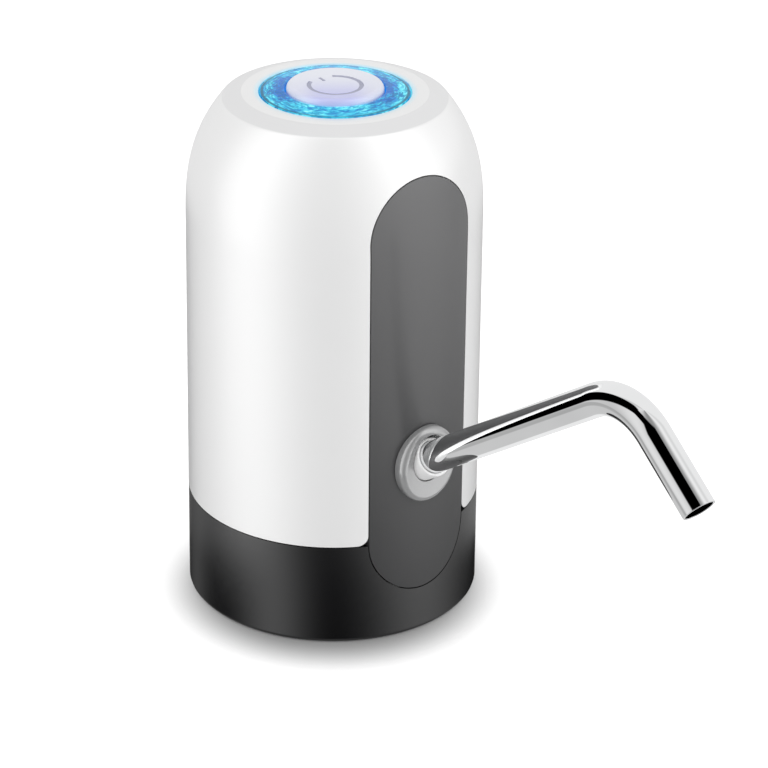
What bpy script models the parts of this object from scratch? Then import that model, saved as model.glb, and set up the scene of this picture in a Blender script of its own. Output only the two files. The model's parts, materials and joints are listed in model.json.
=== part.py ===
"""Electric water dispenser: a rechargeable pump that sits on the neck of a large water bottle.

Axes: +Z is up, the spout leaves towards -Y and the charging port faces +Y. The whole model stands
on z = 0, with the origin under the middle of its overall box, so the body's own axis lies a little
behind the origin. Inside the body every size is measured from the body's axis.

The stack is sized from the inside out: bottle neck, deck, chassis plate, pump, battery, board,
light ring. The shell's height and the base's radius follow from what they have to hold.
"""

import math

import bmesh
import bpy
from mathutils import Matrix, Vector

MM = 0.001

# Clearances
SEAT_GAP = 0.3 * MM        # between pieces that rest on each other
RUN_GAP = 0.25 * MM        # round a piece that turns or slides
SOLDER_GAP = 0.1 * MM      # under a part soldered to its board
OVERRUN = 2.0 * MM         # how far a cutter passes the wall that it cuts
WELD_DISTANCE = 0.001 * MM

# Bottle neck, socket and deck
NECK_RADIUS = 27.5 * MM
NECK_CLEARANCE = 0.5 * MM
NECK_DEPTH = 22.0 * MM
SOCKET_WALL = 1.6 * MM
SOCKET_LIFT = 0.6 * MM     # height of the socket's flange above the table
SOCKET_LEAD = 1.0 * MM     # chamfer at the socket's mouth
FLANGE_WALL = 2.5 * MM
DECK_WALL = 2.4 * MM
RIB_RADIUS = 1.0 * MM
RIB_END_GAP = 1.5 * MM
RIB_COUNT = 8
SEAL_WIDTH = 4.7 * MM
SEAL_WALL = 1.5 * MM

# Base cup
SKIRT_GAP = 4.0 * MM       # between the socket and the base cup
BASE_WALL = 2.4 * MM
BASE_DRAFT = 0.19 * MM
FOOT_CHAMFER = 0.5 * MM
SHELF_WALL = 2.0 * MM
SEAM_RISE = 0.8 * MM       # seam above the deck's top
SPIGOT_HEIGHT = 5.8 * MM
SPIGOT_WALL = 1.6 * MM
SPIGOT_CHAMFER = 0.6 * MM

# Shell
SHELL_WALL = 2.4 * MM
SHELL_DRAFT = 0.44 * MM
DOME_HEIGHT = 30.57 * MM
DOME_POWER = 2.878
CROWN_FLAT = 4.4 * MM      # flat rim round the light ring
CROWN_CHAMFER_WIDTH = 4.5 * MM
CROWN_CHAMFER_HEIGHT = 1.4 * MM
CROWN_WALL = 2.0 * MM

# Front panel
PANEL_HALF_WIDTH = 14.1 * MM
PANEL_WALL = 1.2 * MM
PANEL_SEAM = 0.3 * MM
PANEL_TOP_MARGIN = 9.9 * MM
SHELL_CORNER = 2.5 * MM     # rounding of the shell's lower corners beside the panel

# Chassis
PLATE_WALL = 2.0 * MM
SPINE_HALF_WIDTH = 12.0 * MM
SPINE_WALL = 2.0 * MM
SHELF_PLATE_WALL = 1.5 * MM
CABLE_HOLE_RADIUS = 8.0 * MM
CRADLE_WALL = 2.0 * MM     # battery bracket's plate and its rib
SADDLE_HALF_WIDTH = 8.0 * MM
SADDLE_HEIGHT = 4.0 * MM
BASE_SCREW_COUNT = 3
BASE_SCREW_RADIUS = 1.1 * MM
BASE_SCREW_HEAD_RADIUS = 2.2 * MM
BASE_SCREW_HEAD_HEIGHT = 1.3 * MM

# Gear pump
GEAR_MODULE = 1.0 * MM
GEAR_TEETH = 10
GEAR_WIDTH = 7.0 * MM
GEAR_ADDENDUM_SHARE = 0.8
GEAR_DEDENDUM_SHARE = 1.1
PRESSURE_ANGLE = math.radians(20)
BACKLASH = 0.12 * MM
GEAR_END_GAP = 0.2 * MM
PUMP_WALL = 2.3 * MM
PUMP_FLOOR = 7.2 * MM
PUMP_CORNER = 2.5 * MM
COVER_WALL = 3.0 * MM
PORT_RADIUS = 2.0 * MM
PORT_INSET_SHARE = 0.6
OUTLET_BORE_RADIUS = 1.6 * MM
SHAFT_RADIUS = 1.0 * MM
SHAFT_SEAT_DEPTH = 3.6 * MM
PIN_SEAT_DEPTH = 1.6 * MM
SEAL_POCKET_RADIUS = 3.3 * MM
SEAL_POCKET_DEPTH = 1.8 * MM
PUMP_SCREW_RADIUS = 0.9 * MM
PUMP_SCREW_HEAD_RADIUS = 1.7 * MM
PUMP_SCREW_HEAD_HEIGHT = 1.4 * MM
PUMP_SCREW_BITE = 6.0 * MM

# Inlet nozzle
NOZZLE_BORE_RADIUS = 1.5 * MM
NOZZLE_RADIUS = 2.6 * MM
NOZZLE_FLANGE_RADIUS = 5.5 * MM
NOZZLE_PLUG_LENGTH = 2.6 * MM
BARB_RISE = 0.7 * MM
BARB_PITCH = 3.6 * MM
BARB_COUNT = 3
O_RING_SECTION = 0.4 * MM

# Motor
MOTOR_RADIUS = 12.2 * MM
MOTOR_LENGTH = 30.8 * MM
MOTOR_WALL = 1.0 * MM
MAGNET_WALL = 2.0 * MM
MAGNET_LENGTH = 20.0 * MM
MAGNET_HALF_GAP = 3.5 * MM
ARMATURE_LENGTH = 16.0 * MM
ARMATURE_SLOTS = 3
ARMATURE_SLOT_HALF_WIDTH = 1.2 * MM
ARMATURE_GAP = 0.5 * MM
ARMATURE_SLOT_DEPTH = 4.6 * MM
COMMUTATOR_RADIUS = 2.6 * MM
COMMUTATOR_LENGTH = 4.0 * MM
BUSHING_RADIUS = 2.1 * MM
BUSHING_LENGTH = 3.0 * MM
END_CAP_WALL = 2.5 * MM
TERMINAL_LENGTH = 4.0 * MM
TERMINAL_HALF_WIDTH = 1.4 * MM
TERMINAL_WALL = 0.5 * MM

# Battery
BATTERY_RADIUS = 9.2 * MM
BATTERY_LENGTH = 65.0 * MM
BATTERY_ANGLE = math.radians(20)
BATTERY_SIDE_GAP = 0.8 * MM
CELL_NOSE_RADIUS = 3.0 * MM
CELL_NOSE_RISE = 0.6 * MM
HOLDER_WALL = 1.4 * MM
HOLDER_LIFT = 1.0 * MM     # holder above the pump cover
TAB_ROOM = 1.0 * MM
TAB_WALL = 0.4 * MM
TAB_RADIUS = 4.0 * MM

# Outlet: elbow, ferrule and rosette
ELBOW_DEPTH = 13.0 * MM    # from the panel's face along the spout's lower leg to the knuckle
ELBOW_WALL = 1.1 * MM
ELBOW_NECK_RADIUS = 4.6 * MM
ELBOW_PASSAGE_RADIUS = 2.2 * MM
ELBOW_FOOT_HALF_WIDTH = 3.4 * MM
HOSE_BARB_RADIUS = 2.7 * MM
HOSE_WALL = 1.3 * MM
HOSE_FIT_GAP = 0.2 * MM
FERRULE_WALL = 1.4 * MM
FERRULE_SHOULDER = 1.5 * MM
COLLAR_REACH = 4.3 * MM    # outside the panel's face
COLLAR_WALL = 0.6 * MM     # of the ferrule's outer end, which shows in the rosette
COLLAR_CHAMFER = 0.3 * MM
O_GROOVE_DEPTH = 0.8 * MM
O_GROOVE_WIDTH = 1.4 * MM
O_GROOVE_INSET = 1.0 * MM
ROSETTE_HALF_HEIGHT = 9.8 * MM
ROSETTE_HALF_WIDTH = 8.4 * MM
ROSETTE_DROP = 0.4 * MM    # its middle below the outlet's
ROSETTE_RISE = 2.3 * MM    # its face in front of the panel's
ROSETTE_BEVEL = 1.5 * MM
ROSETTE_DISH = 0.3 * MM

# Spout
SPOUT_RISE_ANGLE = math.radians(34.1)
SPOUT_FALL_ANGLE = math.radians(38.8)
SPOUT_RADIUS = 3.9 * MM
SPOUT_WALL = 0.5 * MM
SPOUT_RISE_LENGTH = 69.8 * MM
SPOUT_BEND_RADIUS = 15.8 * MM
SPOUT_FALL_LENGTH = 19.0 * MM
SPOUT_PLUG_DEPTH = 7.2 * MM

# Charging board and port
BOARD_WALL = 1.6 * MM
BOARD_STANDOFF = 2.0 * MM
CHARGE_BOARD_HALF_WIDTH = 9.5 * MM
CHARGE_BOARD_RISE = 2.5 * MM
CHARGE_BOARD_HEADROOM = 12.0 * MM
PORT_RISE = 7.4 * MM       # port's middle above the spigot's top
PORT_HALF_WIDTH = 5.6 * MM
PORT_HALF_HEIGHT = 2.9 * MM
PORT_CORNER = 1.6 * MM
PORT_WALL = 1.0 * MM
PORT_LIP = 1.6 * MM
PORT_LIP_WALL = 1.5 * MM
USB_HALF_WIDTH = 3.8 * MM
USB_HALF_HEIGHT = 1.4 * MM
USB_DEPTH = 5.5 * MM
USB_SHELL_WALL = 0.4 * MM
USB_MOUTH_DEPTH = 4.0 * MM
USB_TONGUE_SHARE = 0.45

# Light ring, button and control board
RING_RADIUS = 17.6 * MM
RING_HEIGHT = 5.5 * MM
RING_LIP = 2.2 * MM
RING_SKIRT_WALL = 1.4 * MM
RING_BEVEL = 0.4 * MM
RING_CROWN = 0.6 * MM      # its inner edge above the crown's flat
BOARD_MARGIN = 1.2 * MM
BUTTON_RADIUS = 11.5 * MM
BUTTON_RISE = 1.9 * MM     # its face above the crown's flat
BUTTON_EDGE = 1.5 * MM
BUTTON_CROWN = 0.3 * MM
BUTTON_WALL = 1.2 * MM
BUTTON_FLANGE = 1.7 * MM
BUTTON_FLANGE_WALL = 1.0 * MM
BUTTON_STEM_RADIUS = 2.0 * MM
BUTTON_TRAVEL = 0.6 * MM
BUTTON_CLEARANCE = 0.7 * MM
BUTTON_EDGE_SHARE = 0.3
SWITCH_HALF_WIDTH = 3.1 * MM
SWITCH_HEIGHT = 3.4 * MM
PLUNGER_RADIUS = 1.6 * MM
PLUNGER_RISE = 1.0 * MM
PLUNGER_SEAT = 1.8 * MM
LED_COUNT = 6
LED_HALF_LENGTH = 1.7 * MM
LED_HALF_WIDTH = 1.2 * MM
LED_HEIGHT = 1.2 * MM

# Wires
WIRE_RADIUS = 0.6 * MM
WIRE_BEND_RADIUS = 2.0 * MM
WIRE_SPREAD = 3.0 * MM     # between the places where the wires reach the board

# Facets
SHELL_STEPS = 44
RING_STEPS = 36
OUTLET_STEPS = 20
ROUND_STEPS = 24
SMALL_STEPS = 12
KNUCKLE_SEGMENTS = 12
KNUCKLE_RINGS = 8
SCREW_STEPS = 8
WIRE_SIDES_STEP = 1
PIPE_SIDES_STEP = 5
BORE_SIDES_STEP = 3
O_RING_SIDES = 6
BEVEL_LEVELS = 3
SLOT_ARC_POINTS = 6
DOME_LEVELS = 8
INNER_DOME_LEVELS = 4
STADIUM_STEPS = 12
CORNER_STEPS = 3
FLANK_LEVELS = 3
BEND_STEPS = 8
WIRE_BEND_STEPS = 2
SMOOTH_ANGLE = math.radians(32)

# Heights, from the table up
flange_top = SOCKET_LIFT + FLANGE_WALL
deck_under = SOCKET_LIFT + NECK_DEPTH
deck_top = deck_under + DECK_WALL
seam_z = deck_top + SEAM_RISE
spigot_top = seam_z + SPIGOT_HEIGHT
plate_bottom = deck_top + SEAT_GAP
plate_top = plate_bottom + PLATE_WALL
pump_bottom = plate_top + SEAT_GAP
chamber_bottom = pump_bottom + PUMP_FLOOR
pump_top = chamber_bottom + GEAR_WIDTH + 2 * GEAR_END_GAP
cover_bottom = pump_top + SEAT_GAP
cover_top = cover_bottom + COVER_WALL
gear_bottom = chamber_bottom + GEAR_END_GAP
gear_top = gear_bottom + GEAR_WIDTH
outlet_level = (gear_bottom + gear_top) / 2
motor_bottom = cover_top + SEAT_GAP
motor_top = motor_bottom + MOTOR_LENGTH
holder_bottom = cover_top + HOLDER_LIFT
battery_bottom = holder_bottom + HOLDER_WALL + TAB_ROOM
battery_top = battery_bottom + BATTERY_LENGTH
holder_top = battery_top + TAB_ROOM + HOLDER_WALL
shelf_bottom = holder_top + SEAT_GAP
shelf_top = shelf_bottom + SHELF_PLATE_WALL
board_bottom = shelf_top + SEAT_GAP
board_top = board_bottom + BOARD_WALL
ring_bottom = board_top + SEAT_GAP + BUTTON_FLANGE_WALL + BUTTON_TRAVEL + BUTTON_CLEARANCE
top_z = ring_bottom + RING_HEIGHT
edge_z = top_z - CROWN_CHAMFER_HEIGHT
shoulder_z = edge_z - DOME_HEIGHT

# Radii, from the axis out
neck_bore = NECK_RADIUS + NECK_CLEARANCE
socket_radius = neck_bore + SOCKET_WALL
base_inner = socket_radius + SKIRT_GAP
base_radius = base_inner + BASE_WALL
seam_radius = base_radius - BASE_DRAFT
shoulder_radius = seam_radius - SHELL_DRAFT
spigot_radius = seam_radius - SHELL_WALL - SEAT_GAP
spigot_inner = spigot_radius - SPIGOT_WALL
plate_radius = spigot_inner - SEAT_GAP
ring_bore = RING_RADIUS + SEAT_GAP
ring_lip_radius = RING_RADIUS + RING_LIP
flat_radius = RING_RADIUS + CROWN_FLAT
edge_radius = flat_radius + CROWN_CHAMFER_WIDTH
board_radius = ring_lip_radius + BOARD_MARGIN

# Pump layout: the inlet lies on the body's axis, so the gears stand in front of it
pitch_radius = GEAR_MODULE * GEAR_TEETH / 2
gear_radius = pitch_radius + GEAR_MODULE * GEAR_ADDENDUM_SHARE
chamber_radius = gear_radius + RUN_GAP
chamber_waist = math.sqrt(chamber_radius**2 - pitch_radius**2)
gears_y = -(chamber_waist + PORT_RADIUS * PORT_INSET_SHARE)
inlet_socket_radius = NOZZLE_RADIUS + RUN_GAP + 2 * O_RING_SECTION
pump_half_x = pitch_radius + chamber_radius + PUMP_WALL
pump_front = gears_y - chamber_radius - PUMP_WALL
pump_back = inlet_socket_radius + PUMP_WALL
pump_half_y = (pump_back - pump_front) / 2
pump_middle = (pump_back + pump_front) / 2
screw_inset = PUMP_SCREW_HEAD_RADIUS + SEAT_GAP + RUN_GAP

# Switch on the control board
switch_bottom = board_top + SOLDER_GAP
switch_top = switch_bottom + SWITCH_HEIGHT
plunger_top = switch_top + PLUNGER_RISE

# Motor layout
motor_middle = (motor_bottom + motor_top) / 2
magnet_outer = MOTOR_RADIUS - MOTOR_WALL - SOLDER_GAP
magnet_inner = magnet_outer - MAGNET_WALL
cap_top = motor_top + SOLDER_GAP + END_CAP_WALL
shaft_top = cap_top - MOTOR_WALL

# Outlet geometry, in the plane of the spout
rise_sin, rise_cos = math.sin(SPOUT_RISE_ANGLE), math.cos(SPOUT_RISE_ANGLE)
fall_sin, fall_cos = math.sin(SPOUT_FALL_ANGLE), math.cos(SPOUT_FALL_ANGLE)
outlet_z = outlet_level + ELBOW_DEPTH * rise_sin
panel_top = edge_z - PANEL_TOP_MARGIN
spout_bore = SPOUT_RADIUS - SPOUT_WALL
ferrule_bore = SPOUT_RADIUS + HOSE_FIT_GAP
ferrule_radius = ferrule_bore + FERRULE_WALL
collar_radius = ferrule_bore + COLLAR_WALL
collar_root = -ferrule_radius * rise_sin / rise_cos - SEAT_GAP
elbow_bore = ferrule_radius + SEAT_GAP
elbow_radius = elbow_bore + ELBOW_WALL
elbow_hole = elbow_radius + SEAT_GAP
ferrule_end = SPOUT_PLUG_DEPTH + SEAT_GAP + FERRULE_SHOULDER
elbow_seat = ferrule_end + SEAT_GAP


def dome_points(inset, levels=DOME_LEVELS):
    """Shell profile from the crown's edge down to the shoulder, moved inwards along its normals."""
    points = []
    fall = shoulder_radius - edge_radius
    for level in range(levels, -1, -1):
        u = level / levels
        radius = edge_radius + fall * (1 - u**DOME_POWER)
        slope = fall * DOME_POWER * u ** (DOME_POWER - 1)
        length = math.hypot(DOME_HEIGHT, slope)
        points.append(
            (
                radius - inset * DOME_HEIGHT / length,
                shoulder_z + DOME_HEIGHT * u - inset * slope / length,
            )
        )
    return points


def radius_at(height, inset=0.0):
    """Radius of the body's outside at a height, or of a surface that far inside it."""
    profile = dome_points(inset) + [(seam_radius - inset, seam_z), (base_radius - inset, 0.0)]
    for (r1, z1), (r0, z0) in zip(profile, profile[1:]):
        if z0 <= height <= z1:
            return r0 + (r1 - r0) * (height - z0) / (z1 - z0)
    return profile[0][0]


outlet_y = -radius_at(outlet_z)
knuckle_y = outlet_y + ELBOW_DEPTH * rise_cos
spout_turn = SPOUT_RISE_ANGLE + SPOUT_FALL_ANGLE
spout_reach = (
    -outlet_y
    + SPOUT_RISE_LENGTH * rise_cos
    + SPOUT_BEND_RADIUS * (rise_sin + fall_sin)
    + SPOUT_FALL_LENGTH * fall_cos
)
body_y = (spout_reach + SPOUT_RADIUS * fall_sin - base_radius) / 2

# Battery layout: as far out as the shell's inside lets the top of its holder go
holder_radius = BATTERY_RADIUS + SEAT_GAP + HOLDER_WALL
battery_reach = radius_at(holder_top, SHELL_WALL) - BATTERY_SIDE_GAP - holder_radius
battery_x = battery_reach * math.cos(BATTERY_ANGLE)
battery_y = battery_reach * math.sin(BATTERY_ANGLE)
spine_front = battery_y + holder_radius + SEAT_GAP
spine_back = spine_front + SPINE_WALL
charge_board_front = spine_back + BOARD_STANDOFF
charge_board_back = charge_board_front + BOARD_WALL
usb_front = charge_board_back + SOLDER_GAP
usb_face = usb_front + USB_DEPTH
port_z = spigot_top + PORT_RISE

PARTS = bpy.data.collections.new("electric_water_dispenser")
CUTTERS = bpy.data.collections.new("cutters")


def clear_scene():
    for obj in list(bpy.data.objects):
        bpy.data.objects.remove(obj, do_unlink=True)
    bpy.context.scene.collection.children.link(PARTS)
    bpy.context.scene.collection.children.link(CUTTERS)
    CUTTERS.hide_render = True


def finish_material(name, colour, roughness, metallic=0.0):
    material = bpy.data.materials.new(name)
    material.use_nodes = True
    shader = material.node_tree.nodes["Principled BSDF"]
    shader.inputs["Base Color"].default_value = (*colour, 1.0)
    shader.inputs["Roughness"].default_value = roughness
    shader.inputs["Metallic"].default_value = metallic
    material.diffuse_color = (*colour, 1.0)
    return material


# The build: frames, and objects from meshes
def frame_empty(name, location, tilt=0.0, parent=None):
    empty = bpy.data.objects.new(name, None)
    empty.location = location
    empty.rotation_euler = (tilt, 0.0, 0.0)
    empty.parent = parent
    PARTS.objects.link(empty)
    return empty


def place(name, mesh, parent, location=(0.0, 0.0, 0.0), tilt=0.0, cutter=False):
    obj = bpy.data.objects.new(name, mesh)
    obj.parent = parent
    obj.location = location
    obj.rotation_euler = (tilt, 0.0, 0.0)
    (CUTTERS if cutter else PARTS).objects.link(obj)
    if cutter:
        obj.hide_render = True
        obj.display_type = "WIRE"
    return obj


def mesh_of(build):
    """A mesh from a function that fills a bmesh, welded and with its faces turned outwards."""
    work = bmesh.new()
    build(work)
    bmesh.ops.recalc_face_normals(work, faces=work.faces)
    mesh = bpy.data.meshes.new("shape")
    work.to_mesh(mesh)
    work.free()
    return mesh


def turned(name, profile, parent, steps=ROUND_STEPS, location=(0.0, 0.0, 0.0), tilt=0.0, cutter=False):
    """A turned solid. The profile runs down the outer side; one that starts on the axis is left open."""
    work = bmesh.new()
    vertices = [work.verts.new((radius, 0.0, height)) for radius, height in profile]
    for first, second in zip(vertices, vertices[1:]):
        work.edges.new((first, second))
    if profile[0][0] > 0.0:
        work.edges.new((vertices[-1], vertices[0]))
    mesh = bpy.data.meshes.new(name)
    work.to_mesh(mesh)
    work.free()
    obj = place(name, mesh, parent, location, tilt, cutter)
    screw = obj.modifiers.new("Turn", "SCREW")
    screw.steps = steps
    screw.render_steps = steps
    screw.use_merge_vertices = True
    screw.merge_threshold = WELD_DISTANCE
    return obj


def drums(name, radius, bottom, top, centres, parent, sides=SMALL_STEPS, cutter=False):
    """One mesh with a plain round at each centre, all from bottom to top along Z."""

    def build(work):
        for x, y in centres:
            made = bmesh.ops.create_cone(
                work, cap_ends=True, segments=sides, radius1=radius, radius2=radius, depth=top - bottom
            )
            bmesh.ops.translate(work, verts=made["verts"], vec=(x, y, (top + bottom) / 2))

    return place(name, mesh_of(build), parent, cutter=cutter)


def block(name, low, high, parent, cutter=False, location=(0.0, 0.0, 0.0), turn=0.0):
    """A box between two corners, turned about Z where it stands."""
    size = Vector(high) - Vector(low)
    middle = (Vector(high) + Vector(low)) / 2

    def build(work):
        made = bmesh.ops.create_cube(work, size=1)
        bmesh.ops.scale(work, verts=made["verts"], vec=size)
        bmesh.ops.translate(work, verts=made["verts"], vec=middle)

    obj = place(name, mesh_of(build), parent, location, cutter=cutter)
    obj.rotation_euler = (0.0, 0.0, turn)
    return obj


def mesh_from_curve(name, curve, parent, location=(0.0, 0.0, 0.0), tilt=0.0, cutter=False):
    """A curve made a mesh, with its caps welded, in the place that the curve would have."""
    holder = bpy.data.objects.new(name + "_curve", curve)
    PARTS.objects.link(holder)
    graph = bpy.context.evaluated_depsgraph_get()
    mesh = bpy.data.meshes.new_from_object(holder.evaluated_get(graph))
    bpy.data.objects.remove(holder)
    work = bmesh.new()
    work.from_mesh(mesh)
    bmesh.ops.remove_doubles(work, verts=work.verts, dist=WELD_DISTANCE)
    bmesh.ops.recalc_face_normals(work, faces=work.faces)
    work.to_mesh(mesh)
    work.free()
    return place(name, mesh, parent, location, tilt, cutter)


def prism(name, outlines, bottom, top, parent, tilt=0.0, cutter=False, location=(0.0, 0.0, 0.0)):
    """A flat outline, with further outlines as its holes, given thickness along its own Z."""
    curve = bpy.data.curves.new(name, "CURVE")
    curve.dimensions = "2D"
    curve.fill_mode = "BOTH"
    curve.extrude = (top - bottom) / 2
    for outline in outlines:
        spline = curve.splines.new("POLY")
        spline.points.add(len(outline) - 1)
        for point, (x, y) in zip(spline.points, outline):
            point.co = (x, y, 0.0, 1.0)
        spline.use_cyclic_u = True
    obj = mesh_from_curve(name, curve, parent, location, tilt, cutter)
    for vertex in obj.data.vertices:
        vertex.co.z += (top + bottom) / 2
    return obj


def tube(name, path, radius, resolution, parent, location=(0.0, 0.0, 0.0), tilt=0.0, cutter=False):
    """A round bar along a path of straight pieces."""
    curve = bpy.data.curves.new(name, "CURVE")
    curve.dimensions = "3D"
    curve.bevel_depth = radius
    curve.bevel_resolution = resolution
    curve.use_fill_caps = True
    spline = curve.splines.new("POLY")
    spline.points.add(len(path) - 1)
    for point, place_of_point in zip(spline.points, path):
        point.co = (*place_of_point, 1.0)
    return mesh_from_curve(name, curve, parent, location, tilt, cutter)


def boolean(obj, other, operation):
    step = obj.modifiers.new(operation.title(), "BOOLEAN")
    step.operation = operation
    step.solver = "EXACT"
    step.object = other
    return obj


def cut(obj, *others):
    for other in others:
        boolean(obj, other, "DIFFERENCE")
    return obj


def fuse(obj, *others):
    for other in others:
        boolean(obj, other, "UNION")
    return obj


def keep_inside(obj, *others):
    for other in others:
        boolean(obj, other, "INTERSECT")
    return obj


def circle(radius, centre=(0.0, 0.0), steps=SMALL_STEPS):
    return [
        (
            centre[0] + radius * math.cos(math.tau * i / steps),
            centre[1] + radius * math.sin(math.tau * i / steps),
        )
        for i in range(steps)
    ]


def rounded_rectangle(half_x, half_y, corner, centre=(0.0, 0.0), steps=CORNER_STEPS):
    points = []
    for quarter, (sx, sy) in enumerate(((1, 1), (-1, 1), (-1, -1), (1, -1))):
        for i in range(steps + 1):
            angle = math.pi / 2 * (quarter + i / steps)
            points.append(
                (
                    centre[0] + sx * (half_x - corner) + corner * math.cos(angle),
                    centre[1] + sy * (half_y - corner) + corner * math.sin(angle),
                )
            )
    return points


def stadium(half_width, low_centre, high_centre):
    points = []
    for i in range(STADIUM_STEPS + 1):
        angle = math.pi * i / STADIUM_STEPS
        points.append((half_width * math.cos(angle), high_centre + half_width * math.sin(angle)))
    for i in range(STADIUM_STEPS + 1):
        angle = math.pi + math.pi * i / STADIUM_STEPS
        points.append((half_width * math.cos(angle), low_centre + half_width * math.sin(angle)))
    return points


def gear_outline(phase):
    """Involute teeth, with the middle of one tooth at the phase angle."""
    base = pitch_radius * math.cos(PRESSURE_ANGLE)
    root = pitch_radius - GEAR_MODULE * GEAR_DEDENDUM_SHARE
    pitch_half = math.pi / (2 * GEAR_TEETH) - BACKLASH / (2 * pitch_radius)
    pitch_involute = math.tan(PRESSURE_ANGLE) - PRESSURE_ANGLE
    flank = []
    for level in range(FLANK_LEVELS + 1):
        radius = base + (gear_radius - base) * level / FLANK_LEVELS
        roll = math.acos(min(base / radius, 1.0))
        flank.append((radius, pitch_half + pitch_involute - (math.tan(roll) - roll)))
    side = [(root, flank[0][1])] + flank
    points = []
    for tooth in range(GEAR_TEETH):
        middle = phase + math.tau * tooth / GEAR_TEETH
        for radius, half in side:
            points.append((radius * math.cos(middle - half), radius * math.sin(middle - half)))
        for radius, half in reversed(side):
            points.append((radius * math.cos(middle + half), radius * math.sin(middle + half)))
    return points


def slotted_outline(radius, slots, half_width, depth):
    """A round with open slots, as a motor's laminated core has."""
    points = []
    half_angle = math.asin(half_width / radius)
    for slot in range(slots):
        middle = math.tau * (slot + 0.5) / slots
        following = middle + math.tau / slots
        cos, sin = math.cos(middle), math.sin(middle)
        floor = radius - depth
        points.append((floor * cos + half_width * sin, floor * sin - half_width * cos))
        points.append((floor * cos - half_width * sin, floor * sin + half_width * cos))
        for i in range(SLOT_ARC_POINTS + 1):
            start, end = middle + half_angle, following - half_angle
            angle = start + (end - start) * i / SLOT_ARC_POINTS
            points.append((radius * math.cos(angle), radius * math.sin(angle)))
    return points


def ring_profile(outer, inner, bottom, top, bevel=0.0):
    """A plain ring, with its outer top edge bevelled."""
    points = [(inner, top), (outer - bevel, top)]
    if bevel > 0.0:
        points.append((outer, top - bevel))
    else:
        points[-1] = (outer, top)
    return points + [(outer, bottom), (inner, bottom)]


def o_ring(name, ring_radius, section, height, parent, tilt=0.0):
    profile = [
        (
            ring_radius + section * math.cos(math.tau * (0.5 - i) / O_RING_SIDES),
            height + section * math.sin(math.tau * (0.5 - i) / O_RING_SIDES),
        )
        for i in range(O_RING_SIDES)
    ]
    return turned(name, profile, parent, SMALL_STEPS, tilt=tilt)


class Frames:
    """Empties that carry the pieces: the body's own axis, and one on each joint's axis."""

    def __init__(self):
        self.body = frame_empty("body_frame", (0.0, body_y, 0.0))
        self.spout = frame_empty(
            "spout_axis", (0.0, outlet_y, outlet_z), math.pi / 2 - SPOUT_RISE_ANGLE, self.body
        )
        self.drive = frame_empty("drive_axis", (-pitch_radius, gears_y, 0.0), parent=self.body)
        self.idler = frame_empty("idler_axis", (pitch_radius, gears_y, 0.0), parent=self.body)
        self.button = frame_empty("button_axis", (0.0, 0.0, 0.0), parent=self.body)
        self.battery = frame_empty("battery_axis", (battery_x, battery_y, 0.0), parent=self.body)


def outside_profile(inset, low):
    """Profile of the body's outside between the crown's edge and a low height, as a list downwards."""
    points = dome_points(inset)
    points.append((seam_radius - inset, seam_z))
    points.append((radius_at(low) - inset, low))
    return points


def body_envelope(name, inset, frames):
    """A solid with the body's outside, or one parallel to it, for trimming what meets it."""
    profile = outside_profile(inset, -OVERRUN)
    top = profile[0][1]
    return turned(name, [(0.0, top)] + profile + [(0.0, -OVERRUN)], frames.body, SHELL_STEPS, cutter=True)


def panel_slice(name, inner_inset, outer_inset, half_width, frames, cutter):
    """What lies between two surfaces parallel to the body's outside, within the panel's outline."""
    low = seam_z - half_width - OVERRUN
    outer = outside_profile(outer_inset, low)
    inner = outside_profile(inner_inset, low)
    slab = turned(name, outer + list(reversed(inner)), frames.body, SHELL_STEPS, cutter=cutter)
    outline = prism(
        name + "_outline",
        [stadium(half_width, seam_z, panel_top - PANEL_HALF_WIDTH)],
        pitch_radius,
        base_radius + OVERRUN,
        frames.body,
        math.pi / 2,
        cutter=True,
    )
    return keep_inside(slab, outline)


class Cutters:
    """Cutting shapes that several pieces share."""

    def __init__(self, frames):
        self.pocket = panel_slice(
            "panel_pocket", PANEL_WALL + SEAT_GAP, -OVERRUN, PANEL_HALF_WIDTH + PANEL_SEAM, frames, True
        )
        self.envelope = body_envelope("envelope", 0.0, frames)
        self.outer_envelope = body_envelope("outer_envelope", -SEAT_GAP, frames)
        self.outlet_hole = turned(
            "outlet_hole",
            [(0.0, elbow_radius + OVERRUN), (elbow_hole, elbow_radius + OVERRUN),
             (elbow_hole, -ELBOW_DEPTH), (0.0, -ELBOW_DEPTH)],
            frames.spout,
            OUTLET_STEPS,
            cutter=True,
        )


def make_base_cup(frames, cutters, materials):
    shelf_z = flange_top + SEAT_GAP
    shelf_inner = socket_radius + SEAT_GAP
    ledge_z = deck_top - SHELF_WALL
    profile = [
        (spigot_inner, spigot_top),
        (spigot_radius - SPIGOT_CHAMFER, spigot_top),
        (spigot_radius, spigot_top - SPIGOT_CHAMFER),
        (spigot_radius, seam_z),
        (seam_radius, seam_z),
        (base_radius, FOOT_CHAMFER),
        (base_radius - FOOT_CHAMFER, 0.0),
        (base_inner, 0.0),
        (base_inner, shelf_z),
        (shelf_inner, shelf_z),
        (shelf_inner, shelf_z + SHELF_WALL),
        (base_inner, shelf_z + SHELF_WALL),
        (base_inner, ledge_z),
        (shelf_inner, ledge_z),
        (shelf_inner, deck_top),
        (spigot_inner, deck_top),
    ]
    cup = turned("base_cup", profile, frames.body, SHELL_STEPS)
    cup.data.materials.append(materials["black_gloss"])
    return cut(cup, cutters.pocket)


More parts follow.
